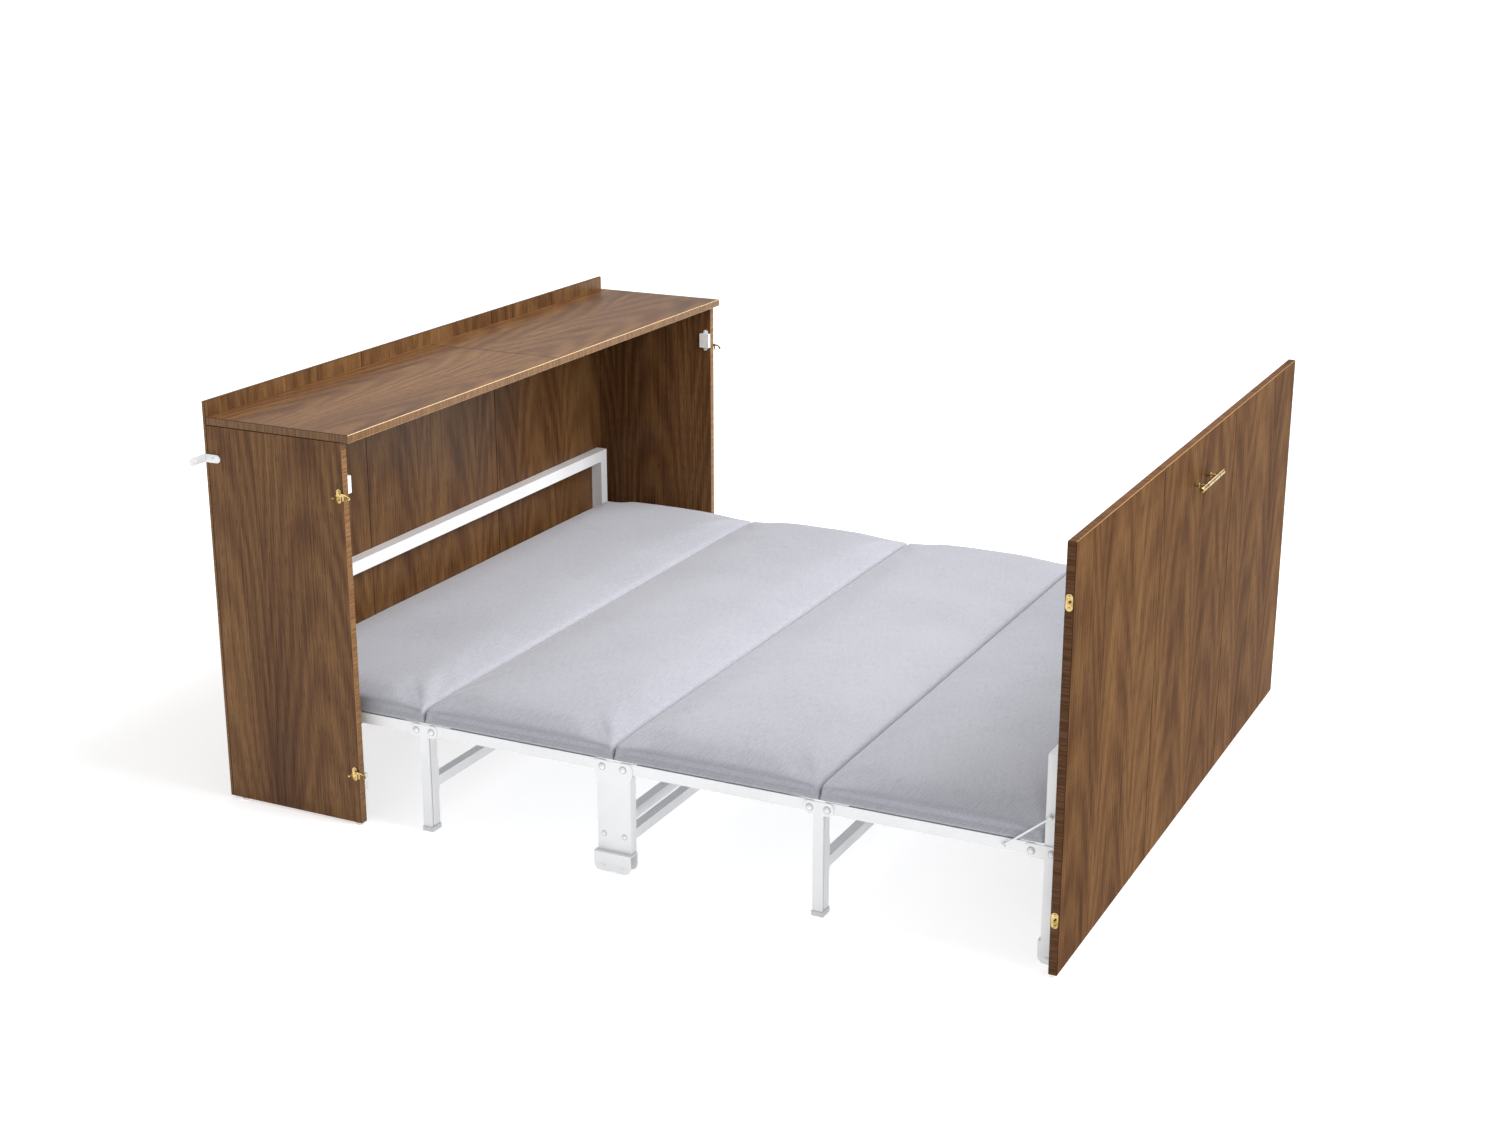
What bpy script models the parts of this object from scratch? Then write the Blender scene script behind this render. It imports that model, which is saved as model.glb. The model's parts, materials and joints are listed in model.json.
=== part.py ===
"""A bed that folds up into a sideboard.

A shallow wooden cabinet with an open front holds the head end of a steel bed frame in four
hinged sections.  The cabinet's front panel is fixed to the foot frame.  Pushing the panel
towards the cabinet lifts the joints between sections 1 and 2 and between sections 3 and 4,
their legs stay upright, and the whole bed folds into the cabinet, which the panel closes.

Metres, +Z up.  The origin is on the floor under the middle of the open bed.  The cabinet
stands at +Y, the foot with its handle faces -Y, and +X is the right-hand side of someone who
faces the cabinet.  A "depth" is a distance from the cabinet's back face towards the foot.
"""

import math

import bmesh
import bpy
from mathutils import Matrix, Vector

# Clearances that several pieces share
SEAT_GAP = 0.0003        # between two pieces that touch
RUNNING_GAP = 0.0006     # between two pieces that slide past each other
WELD = 0.0002            # how deep pieces that are welded run into each other
CUT_OVERRUN = 0.002      # how far a cut runs past the faces that it opens

# Cabinet
CABINET_WIDTH = 1.740
CABINET_DEPTH = 0.369    # back face to the side panels' front edge
CARCASS_HEIGHT = 0.886   # floor to the underside of the top
BOARD_THICKNESS = 0.018
BACK_BOARD_THICKNESS = 0.008
BOARD_SEAM = 0.0008
BOARD_ARRIS = 0.001
UPSTAND_HEIGHT = 0.035   # back boards above the top
TOP_OVERHANG = 0.019     # top past the side panels' front edge
GLIDE_RADIUS = 0.008
GLIDE_HEIGHT = 0.006
GLIDE_FRONT_INSET = 0.014
GLIDE_BACK_INSET = 0.029
BATTEN_HEIGHT = 0.060
BATTEN_THICKNESS = 0.0177

# Front panel, which is the foot board of the open bed
PANEL_FLOOR_GAP = 0.007
PANEL_TOP_GAP = 0.002    # to the underside of the top when closed
PANEL_CLOSED_GAP = 0.0015

# Handle
HANDLE_DROP = 0.095      # panel's top to the bar
HANDLE_PITCH = 0.096
HANDLE_LENGTH = 0.176
HANDLE_STANDOFF = 0.026  # panel face to the bar's middle
HANDLE_BAR_RADIUS = 0.0055
HANDLE_END_RADIUS = 0.0038
HANDLE_END_LENGTH = 0.0025
HANDLE_NECK_RADIUS = 0.003
HANDLE_BASE_RADIUS = 0.005
HANDLE_BASE_LENGTH = 0.010
HANDLE_COLLAR_RADIUS = 0.0062
HANDLE_COLLAR_LENGTH = 0.0045

# Bed frame in four sections
SECTION_COUNT = 4
SECTION_PITCH = 0.47625
FRAME_SIDE_GAP = 0.027   # side rails to the cabinet's side panels
END_CLEARANCE = 0.0007   # between an end frame and the first or last section
AXIS_HEIGHT = 0.240      # all fold bolts
MOUNTAIN_HALF_PITCH = 0.0195
VALLEY_HALF_PITCH = 0.025
RAIL_WIDTH = 0.020
RAIL_HEIGHT = 0.025
RAIL_BELOW_AXIS = 0.010
RAIL_WALL = 0.0015
LUG_THICKNESS = 0.003
LUG_REACH = 0.012        # past its bolt
LUG_CORNER = 0.009
MOUNTAIN_LUG_LENGTH = 0.045
VALLEY_LUG_LENGTH = 0.030
SECTION_TUBE_WIDTH = 0.025
SECTION_TUBE_HEIGHT = 0.016
SECTION_TUBE_INSET = 0.046
DECK_THICKNESS = 0.0085
DECK_OVERHANG = 0.0185   # past the fold bolts
DECK_SIDE_GAP = 0.005    # to the side rails, which clears the carriage when folded

# Fold bolts and plates
BOLT_RADIUS = 0.004
BOLT_HEAD_RADIUS = 0.006
BOLT_HEAD_HEIGHT = 0.0042
NUT_RADIUS = 0.0062
NUT_LENGTH = 0.003
PLATE_THICKNESS = 0.003
PLATE_HALF_HEIGHT = 0.0145
PLATE_REACH = 0.014      # past its bolts
PLATE_CORNER = 0.011

# Pads
PAD_GAP = 0.00125
PAD_SIDE_HEIGHT = 0.025
PAD_CROWN = 0.037
PAD_CORNER = 0.012
PAD_DRAWN_IN = 0.0018    # the sides between the two seams

# Legs at the joints that rise
LEG_WIDTH = 0.023
LEG_DEPTH = 0.025
LEG_WALL = 0.0015
LEG_TOP_BELOW_AXIS = 0.0115
SPACER_WIDTH = 0.012
FOOT_CAP_HEIGHT = 0.012
FOOT_CAP_LIP = 0.0015
LEG_TUBE_SIZE = 0.023
LEG_TUBE_HEIGHT = 0.1005
FLANGE_THICKNESS = 0.003
FLANGE_BOTTOM = 0.090
FLANGE_TOP = 0.164

# Carriage at the joint that stays low
COLUMN_WIDTH = 0.080
COLUMN_DEPTH = 0.025
COLUMN_WALL = 0.0015
COLUMN_TOP_BELOW_AXIS = 0.017
CARRIAGE_PLATE_REACH = 0.0208
CARRIAGE_PLATE_BELOW = 0.024
CARRIAGE_TUBE_SIZE = 0.023
CARRIAGE_TUBE_HEIGHT = 0.0725
CARRIAGE_TUBE_HALF_PITCH = 0.02575
RIVET_RADIUS = 0.005
RIVET_HEIGHT = 0.0022
RIVET_PLACE = 0.085      # height above the floor

# Wheels and their brackets
WHEEL_RADIUS = 0.014
WHEEL_WIDTH = 0.014
WHEEL_FLOOR_GAP = 0.0002
WHEEL_ROUNDING = 0.002
WHEEL_SIDE_GAP = 0.001
AXLE_RADIUS = 0.0025
AXLE_HEAD_RADIUS = 0.004
AXLE_HEAD_HEIGHT = 0.0012
BRACKET_METAL = 0.002
BRACKET_WIDTH = 0.0317
BRACKET_FLOOR_GAP = 0.003
CHEEK_DIP = 0.004
CHEEK_CORNER = 0.016
CARRIAGE_BRACKET_LENGTH = 0.090
CARRIAGE_BRACKET_HEIGHT = 0.046
CARRIAGE_BRACKET_PROUD = 0.0117
CARRIAGE_AXLE_HALF_PITCH = 0.0215
FOOT_BRACKET_LENGTH = 0.038
FOOT_BRACKET_HEIGHT = 0.0517

# Head and foot frames
END_TUBE = 0.032
END_TUBE_WALL = 0.0015
END_FRAME_HEIGHT = 0.4446
LOWER_RAIL_HEIGHT = 0.070

# Stay rods, which hold the foot frame upright
STAY_WIDTH = 0.004
STAY_EYE_RADIUS = 0.005
STAY_STUD_RADIUS = 0.002
STAY_HEAD_RADIUS = 0.0038
STAY_HEAD_HEIGHT = 0.0012
STAY_BACK_FROM_PIVOT = 0.0561
STAY_POST_INSET = 0.011
STAY_POST_HEIGHT = 0.315
STAY_HOOK_LIP = -40          # angle at which the open hook ends, in degrees

# Hook latches on the outside of the cabinet
LATCH_DROP = 0.119           # underside of the top to the upper plates' middle
LATCH_RISE = 0.1246          # floor to the lower plates' middle
LATCH_PLATE_LENGTH = 0.0317
LATCH_PLATE_WIDTH = 0.0125
LATCH_METAL = 0.001
LATCH_PLATE_INSET = 0.0123   # plate's middle behind the side panel's front edge
LATCH_SCREW_HALF_PITCH = 0.010
SCREW_HEAD_RADIUS = 0.003
SCREW_HEAD_HEIGHT = 0.0009
HOOK_PIVOT_AHEAD = 0.0038    # of the plate's middle
HOOK_PIVOT_ABOVE = 0.0045
HOOK_PIN_RADIUS = 0.002
HOOK_THICKNESS = 0.0025
HOOK_REACH = 0.025           # pivot to the ball's middle
HOOK_BALL_RADIUS = 0.0035
HOOK_KNOB_RADIUS = 0.003
HOOK_KNOB_LENGTH = 0.008

# Stud plates on the edges of the front panel
STUD_PLATE_LENGTH = 0.0337
STUD_PLATE_WIDTH = 0.0144
STUD_SCREW_HALF_PITCH = 0.0115
STUD_RADIUS = 0.002
STUD_HEAD_RADIUS = 0.0027
STUD_HEAD_HEIGHT = 0.002
STUD_BELOW_LATCH = 0.0005

# Magnetic catches
CATCH_WIDTH = 0.012
CATCH_DEPTH = 0.028
CATCH_HEIGHT = 0.0385
CATCH_DROP = 0.117           # underside of the top to the upper catches' lower end
CATCH_RISE = 0.079           # floor to the lower catches' lower end
CATCH_SETBACK = 0.001        # behind the side panel's front edge
CATCH_EAR_THICKNESS = 0.003
CATCH_EAR_LENGTH = 0.010
CATCH_EAR_WIDTH = 0.012
CATCH_HOLE_RADIUS = 0.0019

# Wall brackets
WALL_BRACKET_METAL = 0.002
WALL_BRACKET_WIDTH = 0.0184
WALL_BRACKET_DROP = 0.1016   # cabinet's top to the bracket's lower edge
WALL_BRACKET_SIDE_LEG = 0.0417
WALL_BRACKET_OUTER_LEG = 0.054
WALL_BRACKET_HOLE_RADIUS = 0.0026
WALL_BRACKET_SIDE_HOLE = 0.0242
WALL_BRACKET_OUTER_HOLE = 0.0346

# Counts of sides and steps
ROUND_SIDES = 12
FINE_SIDES = 16
CORNER_STEPS = 3

# Shares of the hook's reach: the arm seen from the right, as (towards the foot, up) from its pivot
HOOK_OUTLINE_SHARES = [
    (-0.60, -0.26), (-0.08, 0.13), (0.12, 0.15), (0.72, 0.07), (0.98, -0.08), (1.06, -0.24),
    (0.96, -0.32), (0.88, -0.15), (0.78, -0.07), (0.46, -0.05), (0.445, -0.51), (0.34, -0.55),
    (0.31, -0.12), (0.11, -0.15), (-0.06, -0.13), (-0.53, -0.40),
]
HOOK_BALL_SHARE = (1.0, -0.289)
HOOK_KNOB_SHARE = (-0.53, -0.31)

# Shares of a screw or bolt head's (height, radius), of a knob's (length, radius), and the angles
# at which a ball's rings lie
DOME_SHARES = [(0.45, 0.93), (1, 0.45)]
KNOB_SHARES = [(0, 0.9), (0.3, 0.7), (0.8, 1), (1, 0.6)]
BALL_RING_ANGLES = [-72, -36, 0, 36, 72]
SHARP_ANGLE = 35         # between faces that are shaded apart, in degrees
SAME_POINT_SHARE = 1e-6  # of an outline's size, within which two of its points are one

# Shares of a pad's half size at which its top is drawn, close together near the edge
PAD_SHARES_LONG = [0.0, 0.18, 0.36, 0.54, 0.70, 0.83, 0.92, 0.97, 0.99, 1.0]
PAD_SHARES_SHORT = [0.0, 0.22, 0.44, 0.64, 0.80, 0.92, 0.98, 1.0]
PAD_CROWN_POWER_SHORT = 2.6
PAD_CROWN_POWER_LONG = 15
PAD_CROWN_ROOT_LONG = 2.2

# Places worked out from the sizes above: half widths first
SIDE_OUT = CABINET_WIDTH / 2
SIDE_IN = SIDE_OUT - BOARD_THICKNESS
FRAME_OUT = SIDE_IN - FRAME_SIDE_GAP
RAIL_IN = FRAME_OUT - RAIL_WIDTH
LUG_IN = FRAME_OUT - LUG_THICKNESS
PLATE_IN = FRAME_OUT + SEAT_GAP
PLATE_OUT = PLATE_IN + PLATE_THICKNESS
LEG_OUT = LUG_IN - RUNNING_GAP
LEG_IN = LEG_OUT - LEG_DEPTH
WELDED_OUT = PLATE_IN + WELD    # outer face of a post or column that carries a plate
COLUMN_IN = WELDED_OUT - COLUMN_DEPTH
POST_IN = WELDED_OUT - END_TUBE
BOARD_THIRD = SIDE_OUT / 3

# Depths from the cabinet's back face
HEAD_TUBE_BACK = BACK_BOARD_THICKNESS + SEAT_GAP
HEAD_TUBE_FRONT = HEAD_TUBE_BACK + END_TUBE
BED_START = HEAD_TUBE_FRONT + END_CLEARANCE
BED_END = BED_START + SECTION_COUNT * SECTION_PITCH
FOOT_TUBE_BACK = BED_END + END_CLEARANCE
FOOT_TUBE_FRONT = FOOT_TUBE_BACK + END_TUBE
PANEL_BACK = FOOT_TUBE_FRONT + SEAT_GAP
PANEL_FRONT = PANEL_BACK + BOARD_THICKNESS
HANDLE_FOREMOST = PANEL_FRONT + HANDLE_STANDOFF + max(HANDLE_BAR_RADIUS, HANDLE_COLLAR_RADIUS)
BACK_Y = HANDLE_FOREMOST / 2
TOP_FRONT = CABINET_DEPTH + TOP_OVERHANG

# Heights
RAIL_BOTTOM = AXIS_HEIGHT - RAIL_BELOW_AXIS
RAIL_TOP = RAIL_BOTTOM + RAIL_HEIGHT
SECTION_TUBE_TOP = RAIL_BOTTOM + SECTION_TUBE_HEIGHT
DECK_BOTTOM = SECTION_TUBE_TOP + SEAT_GAP
DECK_TOP = DECK_BOTTOM + DECK_THICKNESS
PAD_BASE = max(RAIL_TOP, DECK_TOP) + SEAT_GAP
LEG_TOP = AXIS_HEIGHT - LEG_TOP_BELOW_AXIS
COLUMN_TOP = AXIS_HEIGHT - COLUMN_TOP_BELOW_AXIS
WHEEL_HEIGHT = WHEEL_RADIUS + WHEEL_FLOOR_GAP
BOLT_HOLE_RADIUS = BOLT_RADIUS + SEAT_GAP
CABINET_TOP = CARCASS_HEIGHT + BOARD_THICKNESS
PANEL_TOP = CARCASS_HEIGHT - PANEL_TOP_GAP
HANDLE_HEIGHT = PANEL_TOP - HANDLE_DROP
LATCH_HEIGHTS = {"upper": CARCASS_HEIGHT - LATCH_DROP, "lower": LATCH_RISE}
CATCH_BOTTOMS = {"upper": CARCASS_HEIGHT - CATCH_DROP, "lower": CATCH_RISE}
WALL_BRACKET_BOTTOM = CABINET_TOP - WALL_BRACKET_DROP

# Joint lines along the bed, as depths
JOINT_LINES = [BED_START + place * SECTION_PITCH for place in range(SECTION_COUNT + 1)]
HEAD_PIVOT = JOINT_LINES[0] + VALLEY_HALF_PITCH
FOOT_PIVOT = JOINT_LINES[-1] - VALLEY_HALF_PITCH
CARRIAGE_LINE = JOINT_LINES[2]
FOOT_WHEEL_LINE = FOOT_TUBE_FRONT - FOOT_BRACKET_LENGTH / 2
STAY_FOOT = (FOOT_PIVOT - STAY_BACK_FROM_PIVOT, AXIS_HEIGHT)
STAY_HEAD = (FOOT_TUBE_BACK + STAY_POST_INSET, STAY_POST_HEIGHT)
STAY_IN = PLATE_OUT + SEAT_GAP
STAY_OUT = STAY_IN + STAY_WIDTH
LATCH_PLATE_LINE = CABINET_DEPTH - LATCH_PLATE_INSET
HOOK_PIVOT_LINE = LATCH_PLATE_LINE + HOOK_PIVOT_AHEAD
LATCH_PLATE_OUT = SIDE_OUT + SEAT_GAP + LATCH_METAL
SCREW_HEAD_OUT = LATCH_PLATE_OUT + SEAT_GAP + SCREW_HEAD_HEIGHT
HOOK_IN = SCREW_HEAD_OUT + SEAT_GAP
HOOK_OUT = HOOK_IN + HOOK_THICKNESS


def section_pivots(number):
    """The depths of a section's two bolts, the one nearer the cabinet first."""
    start, end = JOINT_LINES[number - 1], JOINT_LINES[number]
    if number % 2:
        return start + VALLEY_HALF_PITCH, end - MOUNTAIN_HALF_PITCH
    return start + MOUNTAIN_HALF_PITCH, end - VALLEY_HALF_PITCH


# Each moving body's origin, on its joint's axis, as (x, depth, height)
BODY_ORIGINS = {
    "cabinet": (0, 0, 0),
    "section_1": (0, HEAD_PIVOT, AXIS_HEIGHT),
    "leg_1_2": (0, section_pivots(1)[1], AXIS_HEIGHT),
    "section_2": (0, section_pivots(2)[0], AXIS_HEIGHT),
    "carriage": (0, section_pivots(2)[1], AXIS_HEIGHT),
    "section_3": (0, section_pivots(3)[0], AXIS_HEIGHT),
    "leg_3_4": (0, section_pivots(3)[1], AXIS_HEIGHT),
    "section_4": (0, section_pivots(4)[0], AXIS_HEIGHT),
    "foot": (0, FOOT_PIVOT, AXIS_HEIGHT),
}

# Colour, roughness and metallic value of each finish
FINISHES = {
    "walnut": ("#785638", 0.38, 0.0),
    "back_board": ("#6B4A30", 0.5, 0.0),
    "birch": ("#C9AE86", 0.6, 0.0),
    "white_steel": ("#E6E9EB", 0.4, 0.0),
    "pad_cloth": ("#C8C9D0", 0.9, 0.0),
    "brass": ("#C8AF64", 0.25, 1.0),
    "white_plastic": ("#EDEDEA", 0.45, 0.0),
    "grey_plastic": ("#8E9194", 0.5, 0.0),
}


def linear(channel):
    """One sRGB channel from 0 to 1 as linear light."""
    return channel / 12.92 if channel <= 0.04045 else ((channel + 0.055) / 1.055) ** 2.4


def new_material(name, finish):
    """A Principled material of one of the finishes, under the node's own name."""
    colour, roughness, metallic = FINISHES[finish]
    channels = [linear(int(colour[place:place + 2], 16) / 255) for place in (1, 3, 5)]
    material = bpy.data.materials.new(name)
    material.use_nodes = True
    shader = material.node_tree.nodes["Principled BSDF"]
    shader.inputs["Base Color"].default_value = (*channels, 1)
    shader.inputs["Roughness"].default_value = roughness
    shader.inputs["Metallic"].default_value = metallic
    material.diffuse_color = (*channels, 1)
    return material


def clear_scene():
    """Take away whatever the scene holds."""
    for thing in list(bpy.data.objects):
        bpy.data.objects.remove(thing, do_unlink=True)


def new_empties():
    """One empty for each body, on its joint's axis."""
    empties = {}
    for body, (x, depth, height) in BODY_ORIGINS.items():
        empty = bpy.data.objects.new(body + "_axis", None)
        empty.location = (x, BACK_Y - depth, height)
        bpy.context.collection.objects.link(empty)
        empties[body] = empty
    return empties


def add_node(name, bm, finish, body, own_origin=None, smooth=False):
    """Make the named object of a sub-part, with its origin on the joint that carries it."""
    origin = Vector(own_origin or BODY_ORIGINS[body])
    carrier = Vector(BODY_ORIGINS[body])
    for place in (origin, carrier):
        place.y = -place.y
    bmesh.ops.translate(bm, vec=-origin, verts=bm.verts)
    bmesh.ops.recalc_face_normals(bm, faces=bm.faces)
    mesh = bpy.data.meshes.new(name)
    bm.to_mesh(mesh)
    bm.free()
    if smooth:
        mesh.shade_smooth()
        mesh.set_sharp_from_angle(angle=math.radians(SHARP_ANGLE))
    mesh.materials.append(new_material(name, finish))
    node = bpy.data.objects.new(name, mesh)
    node.parent = EMPTIES[body]
    node.location = origin - carrier
    bpy.context.collection.objects.link(node)


def block(x_span, depth_span, height_span, arris=0):
    """A closed block, with its edges broken if it has an arris."""
    bm = bmesh.new()
    corners = [(x, -depth, height) for x in x_span for depth in depth_span for height in height_span]
    a, b, c, d, e, f, g, h = [bm.verts.new(corner) for corner in corners]
    for face in ((a, b, d, c), (e, g, h, f), (a, e, f, b), (c, d, h, g), (a, c, g, e), (b, f, h, d)):
        bm.faces.new(face)
    if arris:
        bmesh.ops.recalc_face_normals(bm, faces=bm.faces)
        bmesh.ops.bevel(bm, geom=bm.edges[:], offset=arris, segments=1, affect="EDGES")
    return bm


def bridge(bm, first, second):
    """A band of faces between two loops with as many points."""
    count = len(first)
    for place in range(count):
        following = (place + 1) % count
        bm.faces.new((first[place], first[following], second[following], second[place]))


def circle(centre, radius, sides):
    """Points round a circle."""
    turns = [2 * math.pi * place / sides for place in range(sides)]
    return [(centre[0] + radius * math.cos(turn), centre[1] + radius * math.sin(turn)) for turn in turns]


def arc(centre, radius, start, end, steps):
    """Points along part of a circle, with angles in degrees."""
    turns = [math.radians(start + (end - start) * place / steps) for place in range(steps + 1)]
    return [(centre[0] + radius * math.cos(turn), centre[1] + radius * math.sin(turn)) for turn in turns]


def rounded_outline(u_span, v_span, corner):
    """A rectangle with round corners."""
    (u_low, u_high), (v_low, v_high) = sorted(u_span), sorted(v_span)
    corner = min(corner, (u_high - u_low) / 2, (v_high - v_low) / 2)
    points = []
    for u, v, start in ((u_high - corner, v_high - corner, 0), (u_low + corner, v_high - corner, 90),
                        (u_low + corner, v_low + corner, 180), (u_high - corner, v_low + corner, 270)):
        points += arc((u, v), corner, start, start + 90, CORNER_STEPS)
    return without_doubles(points)


def without_doubles(points):
    """The outline without points that repeat the one before, as at the two ends of a full round."""
    near = max(math.dist(point, points[0]) for point in points) * SAME_POINT_SHARE
    return [point for place, point in enumerate(points) if math.dist(point, points[place - 1]) > near]


def plate(outline, span, holes=(), plane="side"):
    """A flat plate between the two places in span.  Outline and holes are (depth, height) points
    for a plate that lies along the side of the bed, and (x, height) for one along the wall."""
    flat = bmesh.new()
    edges = []
    for loop in (outline, *holes):
        corners = [flat.verts.new((u, v, 0)) for u, v in loop]
        edges += [flat.edges.new((corners[place - 1], corners[place])) for place in range(len(corners))]
    bmesh.ops.triangle_fill(flat, edges=edges, use_beauty=True, normal=(0, 0, 1))
    flat.verts.index_update()

    def lift(vert, w):
        u, v = vert.co.x, vert.co.y
        return (w, -u, v) if plane == "side" else (u, -w, v)

    bm = bmesh.new()
    near = [bm.verts.new(lift(vert, span[0])) for vert in flat.verts]
    far = [bm.verts.new(lift(vert, span[1])) for vert in flat.verts]
    for face in flat.faces:
        places = [vert.index for vert in face.verts]
        bm.faces.new([near[place] for place in places])
        bm.faces.new([far[place] for place in reversed(places)])
    for edge in flat.edges:
        if edge.is_boundary:
            first, second = (vert.index for vert in edge.verts)
            bm.faces.new((near[first], near[second], far[second], far[first]))
    flat.free()
    return bm


def turned(axis, centre, profile, sides=ROUND_SIDES):
    """A turned solid along axis 0, 1 or 2.  The profile is (distance along the axis, radius);
    along the depth axis the distance runs towards the foot."""
    bm = bmesh.new()
    rings = [turned_ring(bm, axis, centre, along, radius, sides) for along, radius in profile]
    for first, second in zip(rings, rings[1:]):
        bridge(bm, first, second)
    bm.faces.new(rings[0])
    bm.faces.new(rings[-1])
    return bm


def turned_with_bore(centre, profile, sides):
    """A turned solid with a bore, round an axis along X."""
    bm = bmesh.new()
    rings = [turned_ring(bm, 0, centre, along, radius, sides) for along, radius in profile]
    for place, ring in enumerate(rings):
        bridge(bm, rings[place - 1], ring)
    return bm


def turned_ring(bm, axis, centre, along, radius, sides):
    """One ring of points of a turned shape."""
    x, depth, height = centre
    ring = []
    for place in range(sides):
        turn = 2 * math.pi * (place + 0.5) / sides
        u, v = radius * math.cos(turn), radius * math.sin(turn)
        point = ((x + along, -depth + u, height + v), (x + u, -depth - along, height + v),
                 (x + u, -depth + v, height + along))[axis]
        ring.append(bm.verts.new(point))
    return ring


def twin(shape):
    """The left-hand twin of a right-hand shape."""
    other = shape.copy()
    bmesh.ops.scale(other, vec=(-1, 1, 1), verts=other.verts)
    bmesh.ops.reverse_faces(other, faces=other.faces)
    return other


def pairs(shapes):
    """Right-hand shapes, each followed by its left-hand twin."""
    return [one for shape in shapes for one in (shape, twin(shape))]


def on_side(shape, side):
    """A right-hand shape, or its left-hand twin."""
    return shape if side == "right" else twin(shape)


def boolean(first, second, operation):
    """Two closed shapes joined, or the second cut from the first, by an exact Boolean."""
    things = []
    for shape in (first, second):
        bmesh.ops.recalc_face_normals(shape, faces=shape.faces)
        mesh = bpy.data.meshes.new("scratch")
        shape.to_mesh(mesh)
        shape.free()
        thing = bpy.data.objects.new("scratch", mesh)
        bpy.context.collection.objects.link(thing)
        things.append(thing)
    modifier = things[0].modifiers.new("boolean", "BOOLEAN")
    modifier.operation = operation
    modifier.solver = "EXACT"
    modifier.object = things[1]
    depsgraph = bpy.context.evaluated_depsgraph_get()
    mesh = bpy.data.meshes.new_from_object(things[0].evaluated_get(depsgraph))
    result = bmesh.new()
    result.from_mesh(mesh)
    bpy.data.meshes.remove(mesh)
    for thing in things:
        scratch = thing.data
        bpy.data.objects.remove(thing)
        bpy.data.meshes.remove(scratch)
    return result


def welded(shapes):
    """Overlapping closed shapes as one solid."""
    whole, *others = shapes
    for shape in others:
        whole = boolean(whole, shape, "UNION")
    return whole


def bored(whole, cutters):
    """A solid with its tubes' bores cut out."""
    for cutter in cutters:
        whole = boolean(whole, cutter, "DIFFERENCE")
    return whole


def board_thirds():
    """The x spans of three equal boards across the cabinet, left to right."""
    seam = BOARD_SEAM / 2
    return {
        "left": (-SIDE_OUT, -BOARD_THIRD - seam),
        "middle": (-BOARD_THIRD + seam, BOARD_THIRD - seam),
        "right": (BOARD_THIRD + seam, SIDE_OUT),
    }


def make_cabinet_boards():
    """Side panels on their glides, back boards, the two halves of the top and the batten under it."""
    glide_line = (SIDE_IN + SIDE_OUT) / 2
    glide = ((0, GLIDE_RADIUS), (GLIDE_HEIGHT + 2 * BOARD_ARRIS, GLIDE_RADIUS))
    for side in ("left", "right"):
        shapes = [block((SIDE_IN, SIDE_OUT), (HEAD_TUBE_BACK, CABINET_DEPTH),
                        (GLIDE_HEIGHT, CARCASS_HEIGHT - SEAT_GAP), BOARD_ARRIS)]
        for depth in (CABINET_DEPTH - GLIDE_FRONT_INSET, HEAD_TUBE_BACK + GLIDE_BACK_INSET):
            shapes.append(turned(2, (glide_line, depth, 0), glide))
        add_node("side_panel_" + side, on_side(welded(shapes), side), "walnut", "cabinet")
    for place, x_span in board_thirds().items():
        heights = (GLIDE_HEIGHT, CABINET_TOP + UPSTAND_HEIGHT)
        bm = block(x_span, (0, BACK_BOARD_THICKNESS), heights, BOARD_ARRIS)
        add_node("back_board_" + place, bm, "back_board", "cabinet")
    for side in ("left", "right"):
        bm = block((BOARD_SEAM / 2, SIDE_OUT), (HEAD_TUBE_BACK, TOP_FRONT), (CARCASS_HEIGHT, CABINET_TOP),
                   BOARD_ARRIS)
        add_node("top_board_" + side, on_side(bm, side), "walnut", "cabinet")
    batten_end = SIDE_IN - SEAT_GAP
    batten_top = CARCASS_HEIGHT - SEAT_GAP
    bm = block((-batten_end, batten_end), (HEAD_TUBE_BACK, HEAD_TUBE_BACK + BATTEN_THICKNESS),
               (batten_top - BATTEN_HEIGHT, batten_top), BOARD_ARRIS)
    add_node("top_batten", bm, "birch", "cabinet")


def make_catches():
    """Magnetic catches inside the side panels, each a block between two screw ears."""
    catch_out = SIDE_IN - SEAT_GAP
    front = CABINET_DEPTH - CATCH_SETBACK
    middle = front - CATCH_DEPTH / 2
    for place, bottom in CATCH_BOTTOMS.items():
        top = bottom + CATCH_HEIGHT
        ears = rounded_outline((middle - CATCH_EAR_WIDTH / 2, middle + CATCH_EAR_WIDTH / 2),
                               (bottom - CATCH_EAR_LENGTH, top + CATCH_EAR_LENGTH), CATCH_EAR_WIDTH / 2)
        holes = [circle((middle, height), CATCH_HOLE_RADIUS, ROUND_SIDES)
                 for height in (bottom - CATCH_EAR_LENGTH / 2, top + CATCH_EAR_LENGTH / 2)]
        for side in ("left", "right"):
            case = block((catch_out - CATCH_WIDTH, catch_out - WELD), (front - CATCH_DEPTH, front),
                         (bottom, top))
            ear_strip = plate(ears, (catch_out - CATCH_EAR_THICKNESS, catch_out), holes)
            name = "magnetic_catch_%s_%s" % (side, place)
            add_node(name, on_side(welded([case, ear_strip]), side), "white_plastic", "cabinet")


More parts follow.
